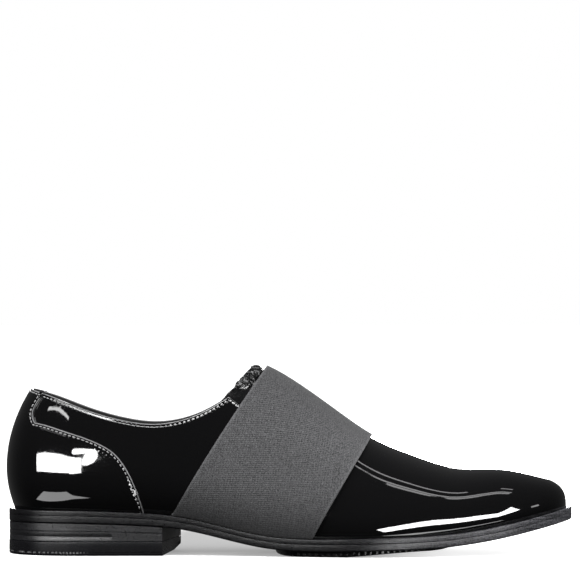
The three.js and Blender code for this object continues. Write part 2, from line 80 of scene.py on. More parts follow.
TEETH_TOP = 1.9
TEETH_END = 40
INSOLE_THICKNESS = 2.4
BACK_FULLEST = 22
BACK_TUCK = 4.6
BACK_LEAN = 13.4
SIDE_TUCK_SHARE = 0.3
HEEL_ROUND = 36
HEEL_POWER = 2.1
NOSE_LENGTH = 42
NOSE_WIDTH_POWER = 2.2
NOSE_WIDTH_ROOT = 2
NOSE_RISE_POWER = 2
NOSE_RISE_ROOT = 2.8

# Sizes of the upper and what lies on it, in millimetres and degrees
UPPER_WALL = 1.8
PATENT_THICKNESS = 1.1
LINING_GAP = 0.05
LAYER_GAP = 0.45
COUNTER_THICKNESS = 1
COUNTER_SKIVED = 0.7
COUNTER_SKIVE_WIDTH = 2.7
COUNTER_LENGTH = 73.6
BAND_WIDTH = 69
BAND_THICKNESS = 1.2
BAND_ANGLE = 57.7
BAND_BACK = 75.9
BAND_BOW = 2
TONGUE_ANGLE = 47.5
TONGUE_BACK = 39.3
TONGUE_LENGTH = 42
TONGUE_SIDE_TURN = 0.13
TONGUE_RISE_TURN = 0.12
TONGUE_GAP = 0.7
TONGUE_THICKNESS = 2
TONGUE_PAD_SHARE = 0.3
GATHERS_FROM = 88
LOBE_SEAM = 5.4
QUARTER_CORNER = 118.8
COLLAR_START = 11.9
THROAT_END = 160

# Stitching, in millimetres
STITCH_PITCH = 2.5
STITCH_LENGTH = 1.75
THREAD = 0.68
COLLAR_STITCH_DROP = 1.8
THROAT_STITCHES = 13
SEAM_STITCH_INSET = 1.7
ROW_SPACING = 0.5
SEAM_MARKS = "seam"

# How finely the leather is modelled: steps in millimetres, and numbers of columns and rows
QUARTER_STEP, THROAT_STEP, VAMP_STEP, NOSE_STEP = 1.25, 0.8, 1.5, 1.0
UPPER_ROWS, LINING_ROWS = 62, 30
SEAM_COLUMNS, TAIL_COLUMNS, COUNTER_ROWS, TAIL_ROWS = 96, 30, 46, 34

# The sections of the last from heel to toe, as shares of the sizes above
SECTION_COLUMNS = (
    "at", "lift", "spring", "ball", "sole_out", "sole_in",
    "body_out", "body_in", "ridge", "axis", "side", "crown",
)
SECTIONS = (
    (0.0, 1.0, 0, 0, 0.507, 0.493, 0.53, 0.515, 0.93, 0, 2, 1.6),
    (0.066, 1.0, 0, 0, 0.507, 0.493, 0.533, 0.518, 0.95, 0, 2, 1.6),
    (0.138, 0.99, 0, 0, 0.51, 0.495, 0.537, 0.522, 0.975, 0, 2, 1.6),
    (0.217, 0.93, 0, 0, 0.5, 0.463, 0.534, 0.507, 0.98, 0.005, 2, 1.62),
    (0.303, 0.83, 0, 0.08, 0.472, 0.403, 0.512, 0.478, 0.985, 0.012, 2, 1.6),
    (0.382, 0.42, 0, 0.3, 0.45, 0.358, 0.482, 0.442, 1.005, 0.02, 2, 1.58),
    (0.454, 0.07, 0, 0.55, 0.455, 0.378, 0.472, 0.435, 1.0, 0.03, 2, 1.55),
    (0.52, 0, 0, 0.78, 0.478, 0.426, 0.478, 0.445, 0.868, 0.035, 2.05, 1.6),
    (0.586, 0, 0.01, 0.95, 0.496, 0.472, 0.484, 0.464, 0.704, 0.038, 2.1, 1.75),
    (0.651, 0, 0.05, 1, 0.502, 0.508, 0.486, 0.492, 0.528, 0.04, 2.15, 1.9),
    (0.717, 0, 0.08, 1, 0.471, 0.51, 0.454, 0.492, 0.441, 0.038, 2.2, 2),
    (0.783, 0, 0.14, 1, 0.408, 0.455, 0.391, 0.438, 0.352, 0.034, 2.25, 2.05),
    (0.849, 0, 0.32, 1, 0.34, 0.388, 0.324, 0.372, 0.333, 0.03, 2.3, 2.1),
    (0.914, 0, 0.585, 1, 0.286, 0.332, 0.272, 0.316, 0.263, 0.027, 2.3, 2.1),
    (1.0, 0, 1.0, 1, 0.252, 0.291, 0.238, 0.276, 0.25, 0.025, 2.3, 2.1),
)

# The height of the collar over the heel seat, from its back to the quarter's corner
COLLAR = (
    (0, 0.995), (0.12, 0.94), (0.29, 0.818), (0.47, 0.735), (0.635, 0.697),
    (0.79, 0.745), (0.905, 0.83), (1, 0.932),
)

# The turn of the throat's edge, from the quarter's corner to the ridge
THROAT = ((0, 0), (0.16, -0.09), (0.36, -0.1), (0.6, -0.02), (0.8, 0.18), (0.92, 0.42), (0.98, 0.7), (1, 1))

# The counter's seam, from its back corner down to the welt, and the edge of its tail up to the collar
COUNTER_SEAM = (
    (0.215, 0.717), (0.3, 0.7), (0.43, 0.648), (0.565, 0.602), (0.68, 0.55), (0.78, 0.49),
    (0.85, 0.4), (0.91, 0.29), (0.955, 0.17), (0.985, 0.08), (1, 0.02),
)
COUNTER_TAIL = ((0, 0.44), (0.17, 0.5), (0.4, 0.535), (0.7, 0.5), (1, 0.455))

NOSE_START = SOLE_LENGTH - NOSE_LENGTH
UPPER_TIP = SOLE_LENGTH - WELT_MARGIN
SOLE_EDGE = SEAT_GAP + WELT_THICKNESS + SEAT_GAP + OUTSOLE_THICKNESS
BALL_HEIGHT = SOLE_EDGE + SEAT_GAP + TREAD_THICKNESS - TREAD_SINK
SEAT_HEIGHT = BALL_HEIGHT + HEEL_LIFT
S_BACK = -HEEL_ROUND * QUARTER_TURN
S_NOSE = NOSE_START - HEEL_ROUND
S_CORNER = QUARTER_CORNER - HEEL_ROUND
S_THROAT = THROAT_END - HEEL_ROUND
OUTER, INNER = -1, 1


def spline(values, u):
    """A column of a table at the places u, smoothed as a uniform cubic B-spline."""
    ends = [2 * values[0] - values[1]], [2 * values[-1] - values[-2]]
    v = np.concatenate([ends[0], values, ends[1]])
    i = np.clip(np.floor(u).astype(int), 0, len(values) - 2)
    f = u - i
    weights = (1 - f) ** 3, 3 * f**3 - 6 * f**2 + 4, -3 * f**3 + 3 * f**2 + 3 * f + 1, f**3
    return sum(w * v[i + k] for k, w in enumerate(weights)) / 6


def fine(rows):
    """The columns of a table, each drawn finely enough to be read between its points in straight lines."""
    u = np.linspace(0, len(rows) - 1, 6000)
    return [spline(np.array(column, float), u) for column in zip(*rows)]


SECTION = dict(zip(SECTION_COLUMNS, fine(SECTIONS)))
COLLAR_AT, COLLAR_UP = fine(COLLAR)
THROAT_AT, THROAT_TURN = fine(THROAT)
SEAM_AT, SEAM_UP = fine(COUNTER_SEAM)
TAIL_AT, TAIL_TURN = fine(COUNTER_TAIL)


def section(x):
    """The last's section at x: feather line, rise of the ridge, reaches to both sides and its powers."""
    share = np.clip(np.asarray(x, float) / SOLE_LENGTH, 0, 1)
    row = {name: np.interp(share, SECTION["at"], SECTION[name]) for name in SECTION_COLUMNS}
    width = HEEL_WIDTH + (BALL_WIDTH - HEEL_WIDTH) * row["ball"]
    axis = row["axis"] * BALL_WIDTH
    reach = {
        part: {OUTER: row[part + "_out"] * width + axis, INNER: row[part + "_in"] * width - axis}
        for part in ("sole", "body")
    }
    feather = BALL_HEIGHT + row["lift"] * HEEL_LIFT + row["spring"] * TOE_SPRING
    return {**row, **reach, "axis": axis, "feather": feather, "rise": row["ridge"] * INSTEP_HEIGHT}


def by_side(side, pair):
    return np.where(np.asarray(side) < 0, pair[OUTER], pair[INNER])


def back_at(height):
    """How far the back of the upper lies in from the back of the sole."""
    away = height - BACK_FULLEST
    low = BACK_TUCK * (away / BACK_FULLEST) ** 2
    high = BACK_LEAN * (away / (BACK_HEIGHT - BACK_FULLEST)) ** 2
    return np.where(away < 0, low, high)


def end_round(t, power, root):
    return np.maximum(0, 1 - np.minimum(1, t) ** power) ** (1 / root)


def along(s, back, tip):
    """x, and how far round the heel and the nose, at a place s along the shoe."""
    heel = np.where(s < 0, np.sin(np.clip(-s / HEEL_ROUND, 0, QUARTER_TURN)), 0)
    nose = np.sin(np.clip((s - S_NOSE) / (tip - NOSE_START), 0, QUARTER_TURN))
    straight = np.minimum(HEEL_ROUND + np.maximum(s, 0), NOSE_START)
    x = straight - heel * (HEEL_ROUND - back) + nose * (tip - NOSE_START)
    return x, heel, nose


def s_tip(tip):
    return S_NOSE + (tip - NOSE_START) * QUARTER_TURN


S_TIP = s_tip(UPPER_TIP)


def plan_round(heel, nose):
    return end_round(heel, HEEL_POWER, HEEL_POWER) * end_round(nose, NOSE_WIDTH_POWER, NOSE_WIDTH_ROOT)


def skin(s, side, a):
    """Points of the last's skin, from arrays of s, side and angle of the arch."""
    s, side, a = np.broadcast_arrays(np.asarray(s, float), side, np.asarray(a, float))
    height = np.zeros(s.shape)
    for _ in range(7):
        x, heel, nose = along(s, back_at(height), UPPER_TIP)
        row = section(x)
        rise = row["rise"] * end_round(nose, NOSE_RISE_POWER, NOSE_RISE_ROOT)
        height = rise * np.clip(np.sin(a), 0, 1) ** (2 / row["crown"])
    fullest = by_side(side, row["body"])
    tuck = fullest - (by_side(side, row["sole"]) - WELT_MARGIN)
    drawn = tuck * np.maximum(0, 1 - height / (SIDE_TUCK_SHARE * row["rise"])) ** 3
    half = fullest * np.clip(np.cos(a), 0, 1) ** (2 / row["side"]) - drawn
    y = row["axis"] + side * np.maximum(0, half * plan_round(heel, nose))
    return np.stack([x, y, row["feather"] + height], -1)


def unit(v):
    return v / np.maximum(np.linalg.norm(v, axis=-1, keepdims=True), 1e-9)


def slope(s, side, a):
    """The way out of one side's skin, from small steps along it and up it."""
    step_s, step_a = 0.05, 0.01
    s_low = np.clip(s - step_s, S_BACK, S_TIP - 3 * step_s)
    a_low = np.clip(a - step_a, 0, QUARTER_TURN - 3 * step_a)
    forward = skin(s_low + 2 * step_s, side, a) - skin(s_low, side, a)
    up = skin(s, side, a_low + 2 * step_a) - skin(s, side, a_low)
    return unit(np.cross(up, forward) * np.asarray(side)[..., None])


def outward(s, side, a):
    """The way out of the skin. On the ridge and down the back the two sides share one."""
    s, side, a = np.broadcast_arrays(np.asarray(s, float), side, np.asarray(a, float))
    out = slope(s, side, a)
    shared = (a > QUARTER_TURN - 1e-6) | (s < S_BACK + 1e-6)
    both = slope(s, np.full(s.shape, OUTER), a) + slope(s, np.full(s.shape, INNER), a)
    both[..., 1] = 0
    out = np.where(shared[..., None], both, out)
    out[..., 2] = np.where(a < 1e-6, 0, out[..., 2])
    out = np.where((s > S_TIP - 0.05)[..., None], np.array([1.0, 0, 0]), out)
    return unit(out)


def lifted(s, side, a, by):
    """Points of the skin moved outward by a distance, but not below the feather line."""
    points = skin(s, side, a) + outward(s, side, a) * np.asarray(by, float)[..., None]
    points[..., 2] = np.maximum(points[..., 2], skin(s, side, np.zeros(np.shape(a)))[..., 2])
    return points


def solve(f, low, high, shape):
    """Where the rising function f passes through zero, for a whole array at once."""
    low, high = np.full(shape, float(low)), np.full(shape, float(high))
    for _ in range(40):
        middle = (low + high) / 2
        below = f(middle) < 0
        low, high = np.where(below, middle, low), np.where(below, high, middle)
    return (low + high) / 2


def collar_height(x):
    share = np.clip((x - COLLAR_START) / (QUARTER_CORNER - COLLAR_START), 0, 1)
    return SEAT_HEIGHT + np.interp(share, COLLAR_AT, COLLAR_UP) * BACK_HEIGHT


def opening_angle(s, side):
    """The angle of the arch at the edge of the collar, of the throat, or on the ridge in front of both."""
    s, side = np.broadcast_arrays(np.asarray(s, float), side)

    def over_collar(a, s):
        p = skin(s, side, a)
        return p[..., 2] - collar_height(p[..., 0])

    collar = solve(lambda a: over_collar(a, s), 0, QUARTER_TURN, s.shape)
    at_corner = solve(lambda a: over_collar(a, np.full(s.shape, S_CORNER)), 0, QUARTER_TURN, s.shape)
    share = (s - S_CORNER) / (S_THROAT - S_CORNER)
    turn = np.interp(np.clip(share, 0, 1), THROAT_AT, THROAT_TURN)
    throat = at_corner + (QUARTER_TURN - at_corner) * turn
    return np.where(s <= S_CORNER, collar, np.where(share > 1 - 1e-6, QUARTER_TURN, throat))


def angle_at(s, side, z):
    """The angle of the arch at a height."""
    s, side, z = np.broadcast_arrays(np.asarray(s, float), side, np.asarray(z, float))
    return solve(lambda a: skin(s, side, a)[..., 2] - z, 0, QUARTER_TURN, s.shape)


# Where the last lies in the frame
out_reach = np.max(SECTION["sole_out"] * (HEEL_WIDTH + (BALL_WIDTH - HEEL_WIDTH) * SECTION["ball"]))
sole_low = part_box("outsole")[0]
SHIFT = np.array([sole_low[0] / MM, sole_low[1] / MM + out_reach, 0])


# Mesh helpers
def select_only(obj):
    bpy.ops.object.select_all(action="DESELECT")
    obj.select_set(True)
    bpy.context.view_layer.objects.active = obj


def smooth(obj, angle=40):
    select_only(obj)
    bpy.ops.object.shade_smooth_by_angle(angle=math.radians(angle))
    return obj


def in_edit(obj, *steps):
    """Runs operators on the whole of a mesh in edit mode."""
    select_only(obj)
    bpy.ops.object.mode_set(mode="EDIT")
    bpy.ops.mesh.select_all(action="SELECT")
    for step in steps:
        step()
    bpy.ops.object.mode_set(mode="OBJECT")


def weld():
    bpy.ops.mesh.remove_doubles(threshold=2e-6)


def face_out():
    bpy.ops.mesh.normals_make_consistent(inside=False)


def close_holes():
    bpy.ops.mesh.select_all(action="DESELECT")
    bpy.ops.mesh.select_mode(type="EDGE")
    bpy.ops.mesh.select_non_manifold()
    bpy.ops.mesh.edge_face_add()
    bpy.ops.mesh.select_all(action="SELECT")


def vertices_of(obj):
    places = np.empty(len(obj.data.vertices) * 3, np.float32)
    obj.data.vertices.foreach_get("co", places)
    return places.reshape(-1, 3)


def place_vertices(obj, points):
    """Puts a mesh's vertices at points in millimetres, x from the back of the sole."""
    placed = ((points + SHIFT) * MM).astype(np.float32)
    obj.data.vertices.foreach_set("co", placed.reshape(-1))
    obj.data.update()


def cloth_grid(name, points, uv=None):
    """A grid primitive laid over a surface: points is an array of columns and rows, in millimetres."""
    columns, rows = points.shape[:2]
    bpy.ops.object.select_all(action="DESELECT")
    bpy.ops.mesh.primitive_grid_add(x_subdivisions=columns - 1, y_subdivisions=rows - 1, size=1)
    obj = bpy.context.object
    place_vertices(obj, points.transpose(1, 0, 2))
    if uv is not None:
        corner = np.empty(len(obj.data.loops), np.int32)
        obj.data.loops.foreach_get("vertex_index", corner)
        flat = uv.transpose(1, 0, 2).reshape(-1, 2)
        obj.data.uv_layers[0].data.foreach_set("uv", flat[corner].astype(np.float32).reshape(-1))
    obj.name = obj.data.name = name
    return obj


def apply(obj, kind, **settings):
    select_only(obj)
    modifier = obj.modifiers.new(kind.title(), kind)
    for key, value in settings.items():
        setattr(modifier, key, value)
    bpy.ops.object.modifier_apply(modifier=modifier.name)


def make_wall(obj, thickness, rim, segments=3):
    """Gives a sheet its thickness, inwards from its face, and a round rim. Both are in millimetres."""
    apply(obj, "SOLIDIFY", thickness=thickness * MM, offset=-1)
    apply(
        obj, "BEVEL", width=rim * MM, segments=segments, limit_method="ANGLE",
        angle_limit=math.radians(50), use_clamp_overlap=True, miter_outer="MITER_ARC",
    )
    smooth(obj)


def join(name, *objects):
    select_only(objects[0])
    for obj in objects:
        obj.select_set(True)
    bpy.ops.object.join()
    objects[0].name = objects[0].data.name = name
    return objects[0]


def settle(obj, slot_name, material, *replaced):
    """Gives a piece its place in the frame: body, material and the nodes it stands for; its slot name is not
    used.
    """
    obj.data.materials.clear()
    obj.data.materials.append(material)
    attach(obj, "root")
    if replaced:
        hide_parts(*replaced)


# Shader maths
class Look:
    """The node tree of a material, or of the world, under construction."""

    def __init__(self, owner, end="OutputMaterial"):
        owner.use_nodes = True
        self.owner, self.tree = owner, owner.node_tree
        self.tree.nodes.clear()
        self.end = self.node(end).inputs[0]

    def feed(self, socket, value):
        """Links a term to a socket, or sets a number or a colour on it."""
        if isinstance(value, Term):
            self.tree.links.new(value.socket, socket)
        elif isinstance(value, tuple):
            socket.default_value = (*value, 1)
        else:
            socket.default_value = value

    def node(self, kind, settings=None, **values):
        """Adds a node. Settings come first, then the values or links of its sockets, by name or number."""
        node = self.tree.nodes.new("ShaderNode" + kind)
        for key, value in (settings or {}).items():
            setattr(node, key, value)
        for key, value in values.items():
            numbered = key[0] == "i" and key[1:].isdigit()
            self.feed(node.inputs[int(key[1:]) if numbered else key.replace("_", " ")], value)
        return node

    def term(self, kind, settings=None, out=0, **values):
        """Adds a node and goes on with one of its outputs."""
        return Term(self, self.node(kind, settings, **values).outputs[out])

    def math(self, operation, *values):
        return self.term("Math", {"operation": operation}, **{f"i{k}": v for k, v in enumerate(values)})

    def parts(self, vector):
        node = self.node("SeparateXYZ", i0=vector)
        return [Term(self, node.outputs[k]) for k in range(3)]

    def noise(self, place, scale, detail=2.0, rough=0.5):
        return self.term("TexNoise", Vector=place, Scale=scale, Detail=detail, Roughness=rough)

    def ramp(self, value, low, high, out_low=0.0, out_high=1.0, kind="SMOOTHSTEP"):
        ends = {"i1": low, "i2": high, "i3": out_low, "i4": out_high}
        return self.term("MapRange", {"interpolation_type": kind}, i0=value, **ends)

    def blend(self, share, first, second):
        return self.term("Mix", {"data_type": "RGBA"}, out=2, i0=share, i6=first, i7=second)

    def bump(self, height_mm):
        """A normal from a height in millimetres."""
        return self.term("Bump", Strength=1.0, Distance=1.0, Height=height_mm * MM)

    def finish(self, last):
        self.tree.links.new(last.socket, self.end)
        return self.owner

    def surface(self, **values):
        return self.finish(self.term("BsdfPrincipled", **values))


def sum_of(operation, swapped=False):
    """A method that works out one operation of a term and another term or a number."""
    def method(self, other):
        return self.look.math(operation, *((other, self) if swapped else (self, other)))

    return method


class Term:
    """A socket that can be used in sums."""

    def __init__(self, look, socket):
        self.look, self.socket = look, socket

    __add__, __radd__ = sum_of("ADD"), sum_of("ADD", True)
    __sub__, __rsub__ = sum_of("SUBTRACT"), sum_of("SUBTRACT", True)
    __mul__, __rmul__ = sum_of("MULTIPLY"), sum_of("MULTIPLY", True)
    __truediv__ = sum_of("DIVIDE")

    def size(self):
        return self.look.math("ABSOLUTE", self)

    def wave(self):
        return self.look.math("SINE", self)

    def bell(self, width):
        """1 where the term is zero, falling away over a width to both sides."""
        share = self / width
        return self.look.math("EXPONENT", share * share * -1.0)


def new_look(name):
    """A new material's node tree, with the place on its piece, in millimetres."""
    look = Look(bpy.data.materials.new(name))
    place = look.term("TexCoord", out="Object")
    return look, look.term("VectorMath", {"operation": "SCALE"}, i0=place, Scale=1 / MM)


# Colours, in linear light
PATENT_BLACK = (0.005, 0.005, 0.0053)
PATENT_EDGE_PAINTED_HIGHLIGHT = (0.27, 0.27, 0.275)
PATENT_FOLD_PAINTED_GLINT = (0.17, 0.17, 0.172)
YARN_DARK, YARN_PALE = (0.008, 0.008, 0.009), (0.13, 0.13, 0.135)
EDGE_INK, EDGE_PAINTED_SHEEN = (0.004, 0.004, 0.005), (0.16, 0.16, 0.176)
RUBBER_DARK, RUBBER_WORN = (0.004, 0.004, 0.005), (0.012, 0.012, 0.014)
RUBBER_TOOTH_PAINTED_HIGHLIGHT = (0.2, 0.2, 0.205)
LINING_DARK, LINING_PALE = (0.008, 0.008, 0.008), (0.016, 0.0155, 0.015)
INSOLE_DARK, INSOLE_PALE = (0.012, 0.0115, 0.011), (0.03, 0.0285, 0.027)
THREAD_PAINTED_HIGHLIGHT_DARK, THREAD_PAINTED_HIGHLIGHT_PALE = (0.2, 0.2, 0.203), (0.5, 0.5, 0.505)
FLOOR_LIT, FLOOR_SHADED = (0.8, 0.8, 0.8), (0.1, 0.1, 0.1)
GLOW_MIDDLE, GLOW_PAINTED_TOE_LIGHT, GLOW_SHADED = (0.36, 0.36, 0.36), (0.86, 0.86, 0.86), (0.3, 0.3, 0.3)


# Materials
def patent(name, edge_at, waves=1.0, crinkle=0.0, haze=0.0):
    """Black patent leather: a deep gloss over soft waves, drawn in and puckered along its stitches, with a
    painted highlight line along its edge and, where gathered, painted glints on its folds.
    """
    look, place = new_look(name)
    seam_along, seam_off, seam_away = look.parts(
        look.term("Attribute", {"attribute_name": SEAM_MARKS}, out="Vector")
    )
    near = look.ramp(seam_away, 4.5, 3.2)
    soft = look.noise(place, 0.055, 2.0, 0.45)
    small = look.noise(place, 0.35, 2.0, 0.5)
    groove = seam_off.bell(0.7) * -0.17
    pucker = (seam_along * (FULL_TURN / STITCH_PITCH)).wave() * seam_off.bell(1.2) * 0.05
    height = soft * (0.12 * waves) + small * 0.008 + (groove + pucker) * near
    dust = look.ramp(look.noise(place, 0.8, 4.0, 0.6), 0.45, 0.75)
    # Painted highlight: a pale line along the leather's edge beside the stitches, which also makes it rougher
    # there.
    edge = (seam_off - edge_at).bell(0.28) * near
    colour = look.blend(edge, PATENT_BLACK, PATENT_EDGE_PAINTED_HIGHLIGHT)
    if crinkle:
        folded = look.ramp(look.parts(place)[2], GATHERS_FROM, GATHERS_FROM + 2.5)
        folds = look.noise(place, 0.62, 3.0, 0.55)
        height = height + folds * folded * crinkle
        # Painted glints: pale flecks on the peaks of the gathered folds.
        colour = look.blend(look.ramp(folds, 0.53, 0.66) * folded, colour, PATENT_FOLD_PAINTED_GLINT)
    return look.surface(
        Base_Color=colour, Roughness=dust * 0.02 + edge * 0.3 + (0.035 + haze), IOR=1.5,
        Coat_Weight=0.6, Coat_Roughness=0.02, Normal=look.bump(height),
    )


def elastic_webbing(length):
    """Grey woven elastic: a fine slanting twill, speckled by its yarn, with painted shade at its feet and
    along its ridge.
    """
    look, place = new_look("elastic_webbing")
    across, down, _ = look.parts(look.term("UVMap", {"uv_map": "UVMap"}))
    twill = (down * (FULL_TURN / 1.22) - across * (FULL_TURN / 4.2)).wave()
    cross = (across * (FULL_TURN / 1.35) + down * (FULL_TURN / 4.4)).wave()
    fuzz = look.noise(place, 1.9, 2.0, 0.6)
    mottle = look.noise(place, 0.6, 3.0, 0.65)
    half = BAND_WIDTH / 2
    edge = look.ramp((across - half).size(), half - 1.6, half - 0.6)
    share = twill * 0.13 + cross * 0.06 + (fuzz - 0.5) * 2.4 + (mottle - 0.5) * 0.5 + edge * 0.25 + 0.46
    yarn = look.ramp(share, 0.0, 1.0, kind="LINEAR")
    from_ridge = (down - length / 2).size()
    # Painted shade: the yarn's colour is darkened towards its feet by the sole and towards its ridge.
    painted_shade_at_foot = look.ramp(from_ridge, length / 2, length / 2 - 34, 0.45, 1.0)
    painted_shade_at_ridge = look.ramp(from_ridge, 0, 42, 0.55, 1.0)
    return look.surface(
        Base_Color=look.blend(yarn * (painted_shade_at_foot * painted_shade_at_ridge), YARN_DARK, YARN_PALE), Roughness=0.85,
        Specular_IOR_Level=0.25, Sheen_Weight=0.1, Sheen_Roughness=0.5,
        Normal=look.bump(twill * 0.03 + cross * 0.02 + fuzz * 0.16),
    )


def sole_edge(name, pale, shine):
    """Inked and burnished sole leather, trimmed and slightly mottled, with a painted sheen that makes it
    paler towards the toe.
    """
    look, place = new_look(name)
    x, y, z = look.parts(place)
    drawn_out = look.term("CombineXYZ", i0=x * 0.06, i1=y * 0.06, i2=z * 1.5)
    long_grain = look.noise(drawn_out, 1.0, 4.0, 0.6)
    speckle = look.noise(place, 1.1, 4.0, 0.65)
    # Painted sheen: the edge's colour grows paler from the waist towards the toe.
    painted_sheen = look.blend(look.ramp(x, 15, 130), (pale, pale, pale * 1.15), EDGE_PAINTED_SHEEN)
    return look.surface(
        Base_Color=look.blend(look.ramp(long_grain * 0.5 + speckle * 0.6, 0.35, 0.8), EDGE_INK, painted_sheen),
        Roughness=look.ramp(speckle, 0.3, 0.7, 0.26, 0.44), Specular_IOR_Level=shine,
        Normal=look.bump(long_grain * 0.07 + speckle * 0.045),
    )


def rubber():
    """Black rubber, with a painted highlight that colours the teeth milled round the back of the top lift
    pale.
    """
    look, place = new_look("black_rubber")
    x, y, z = look.parts(place)
    grain = look.noise(place, 2.2, 3.0, 0.6)
    # Painted highlight: the milled teeth are coloured pale, for the light they catch.
    milled = look.ramp(z, 1.2, 1.6) * look.ramp(z, 2.4, 2.0) * look.ramp(x, -106, -114)
    comb = look.ramp((x * (FULL_TURN / TEETH_PITCH) + y * 2.0).wave(), -0.2, 0.5)
    black = look.blend(look.noise(place, 0.12, 3.0, 0.6), RUBBER_DARK, RUBBER_WORN)
    return look.surface(
        Base_Color=look.blend(milled * comb, black, RUBBER_TOOTH_PAINTED_HIGHLIGHT), Roughness=grain * 0.12 + 0.2,
        Specular_IOR_Level=0.2, Normal=look.bump(grain * 0.02),
    )


def lining_leather(name, dark, pale):
    """Smooth dark lining leather with fine pores."""
    look, place = new_look(name)
    pores = look.term("TexVoronoi", Vector=place, Scale=0.9)
    patch = look.noise(place, 0.06, 3.0, 0.6)
    return look.surface(
        Base_Color=look.blend(patch, dark, pale), Roughness=look.ramp(patch, 0.3, 0.7, 0.45, 0.62),
        Normal=look.bump(pores * 0.05),
    )


def waxed_thread():
    look, place = new_look("black_thread_painted_highlight")
    # Painted highlight: the black thread is coloured grey to pale, for the light its stitches catch.
    ply = look.noise(place, 4.0, 2.0, 0.5)
    return look.surface(
        Base_Color=look.blend(ply, THREAD_PAINTED_HIGHLIGHT_DARK, THREAD_PAINTED_HIGHLIGHT_PALE), Roughness=0.3, Normal=look.bump(ply * 0.04),
    )


# Rows of stitches
def ease(t):
    t = np.clip(t, 0, 1)
    return t * t * (3 - 2 * t)


def arc_between(points):
    """Distances along a grid's columns, from each column's last row."""
    return np.array([along_path(column[::-1])[::-1] for column in points])


def at_distance(grid, distance, target):
    """A grid's values where the distance from each column's last row is the target."""
    return np.array([read_at(target, run[::-1], column[::-1]) for column, run in zip(grid, distance)])


def along_path(path):
    steps = np.linalg.norm(np.diff(path, axis=0), axis=-1)
    return np.concatenate([[0], np.cumsum(steps)])


def read_at(at, run, values):
    return np.stack([np.interp(at, run, values[:, k]) for k in range(3)], -1)


def even_row(line, ways):
    """A line and the ways out of the leather along it at an even spacing, and how far along they lie."""
    run = along_path(line)
    at = np.linspace(0, run[-1], max(2, int(round(run[-1] / ROW_SPACING)) + 1))
    return read_at(at, run, line), read_at(at, run, ways), at


def tree_of(points):
    tree = KDTree(len(points))
    for k, p in enumerate(points):
        tree.insert(p, k)
    tree.balance()
    return tree


def store_marks(obj, marks):
    attribute = obj.data.attributes.new(SEAM_MARKS, "FLOAT_VECTOR", "POINT")
    attribute.data.foreach_set("vector", marks.astype(np.float32).reshape(-1))


def mark_seams(obj, rows):
    """Stores how far along, off (edgewards) and away from the nearest stitch row each vertex lies."""
    tangents, sides = [], []
    for line, ways in rows:
        tangents.append(unit(np.gradient(line, axis=0)))
        side = unit(np.cross(tangents[-1], ways))
        sides.append(side * np.sign(np.mean(side[:, 2] + 0.6 * side[:, 0])))
    lines = np.concatenate([line for line, _ in rows])
    runs = np.concatenate([along_path(line) for line, _ in rows])
    tangents, sides = np.concatenate(tangents), np.concatenate(sides)
    tree = tree_of(lines)
    places = vertices_of(obj) / MM - SHIFT
    found = [tree.find(p) for p in places]
    nearest = np.array([index for _, index, _ in found])
    away = np.array([distance for _, _, distance in found])
    off = places - lines[nearest]
    along_row = runs[nearest] + np.sum(off * tangents[nearest], -1)
    store_marks(obj, np.stack([along_row, np.sum(off * sides[nearest], -1), away], -1))


def stitches(name, rows, material):
    """Threads laid along the rows: one short capsule, modelled once and copied at an even pitch."""
    bpy.ops.object.select_all(action="DESELECT")
    bpy.ops.mesh.primitive_uv_sphere_add(segments=8, ring_count=6, radius=0.5)
    seed = bpy.context.object
    ball = vertices_of(seed)
    ahead = np.sign(ball[:, 2]) * np.abs(ball[:, 2] * 2) ** 0.7 / 2 * STITCH_LENGTH
    beside, raised = ball[:, 0] * THREAD, ball[:, 1] * THREAD - 0.12 * ahead**2
    threads = []
    for line, ways in rows:
        run = along_path(line)
        middles = (np.arange(int(run[-1] / STITCH_PITCH)) + 0.5) * STITCH_PITCH
        step = 0.4
        forward = unit(read_at(middles + step, run, line) - read_at(middles - step, run, line))
        up = read_at(middles, run, ways)
        up = unit(up - forward * np.sum(up * forward, -1, keepdims=True))
        for place, f, u in zip(read_at(middles, run, line), forward, up):
            thread = seed.copy()
            thread.data = seed.data.copy()
            bpy.context.scene.collection.objects.link(thread)
            place_vertices(
                thread, place + np.outer(ahead, f) + np.outer(beside, np.cross(u, f)) + np.outer(raised, u)
            )
            threads.append(thread)
    bpy.data.objects.remove(seed)
    obj = join(name, *threads)
    in_edit(obj, face_out)
    smooth(obj, 70)
    settle(obj, "patent_leather", material)


# The upper
# The main creases, soft troughs and ridges, given in the shoe's own sizes: x and height of the
# middle, length and width, all in millimetres, turn from level in degrees, and rise off the last
CREASES = (
    (70, 46, 30, 12, -20, 0.25),
    (96, 40, 26, 11, 8, -0.2),
)

# How much fuller the instep and the vamp are than the last, along the ridge: x and rise, in millimetres
FULLNESS = (
    (110, 0), (126, 0.2), (142, 0.5), (160, 0.55), (178, 0.6), (190, 1.0), (204, 1.85), (220, 1.9),
    (232, 1.7), (243, 0.9), (254, 0.9), (266, 1.4), (276, 1.0), (286, 0), (296, 0),
)
FULL_AT, FULL_RISE = fine(FULLNESS)


def over_rows(s, side, a):
    """s, side and angle of a whole grid, from those of its columns."""
    return np.broadcast_to(s[:, None], a.shape), np.broadcast_to(side[:, None], a.shape), a


def steps_between(low, high, step):
    return np.linspace(low, high, int(math.ceil((high - low) / step)) + 1)


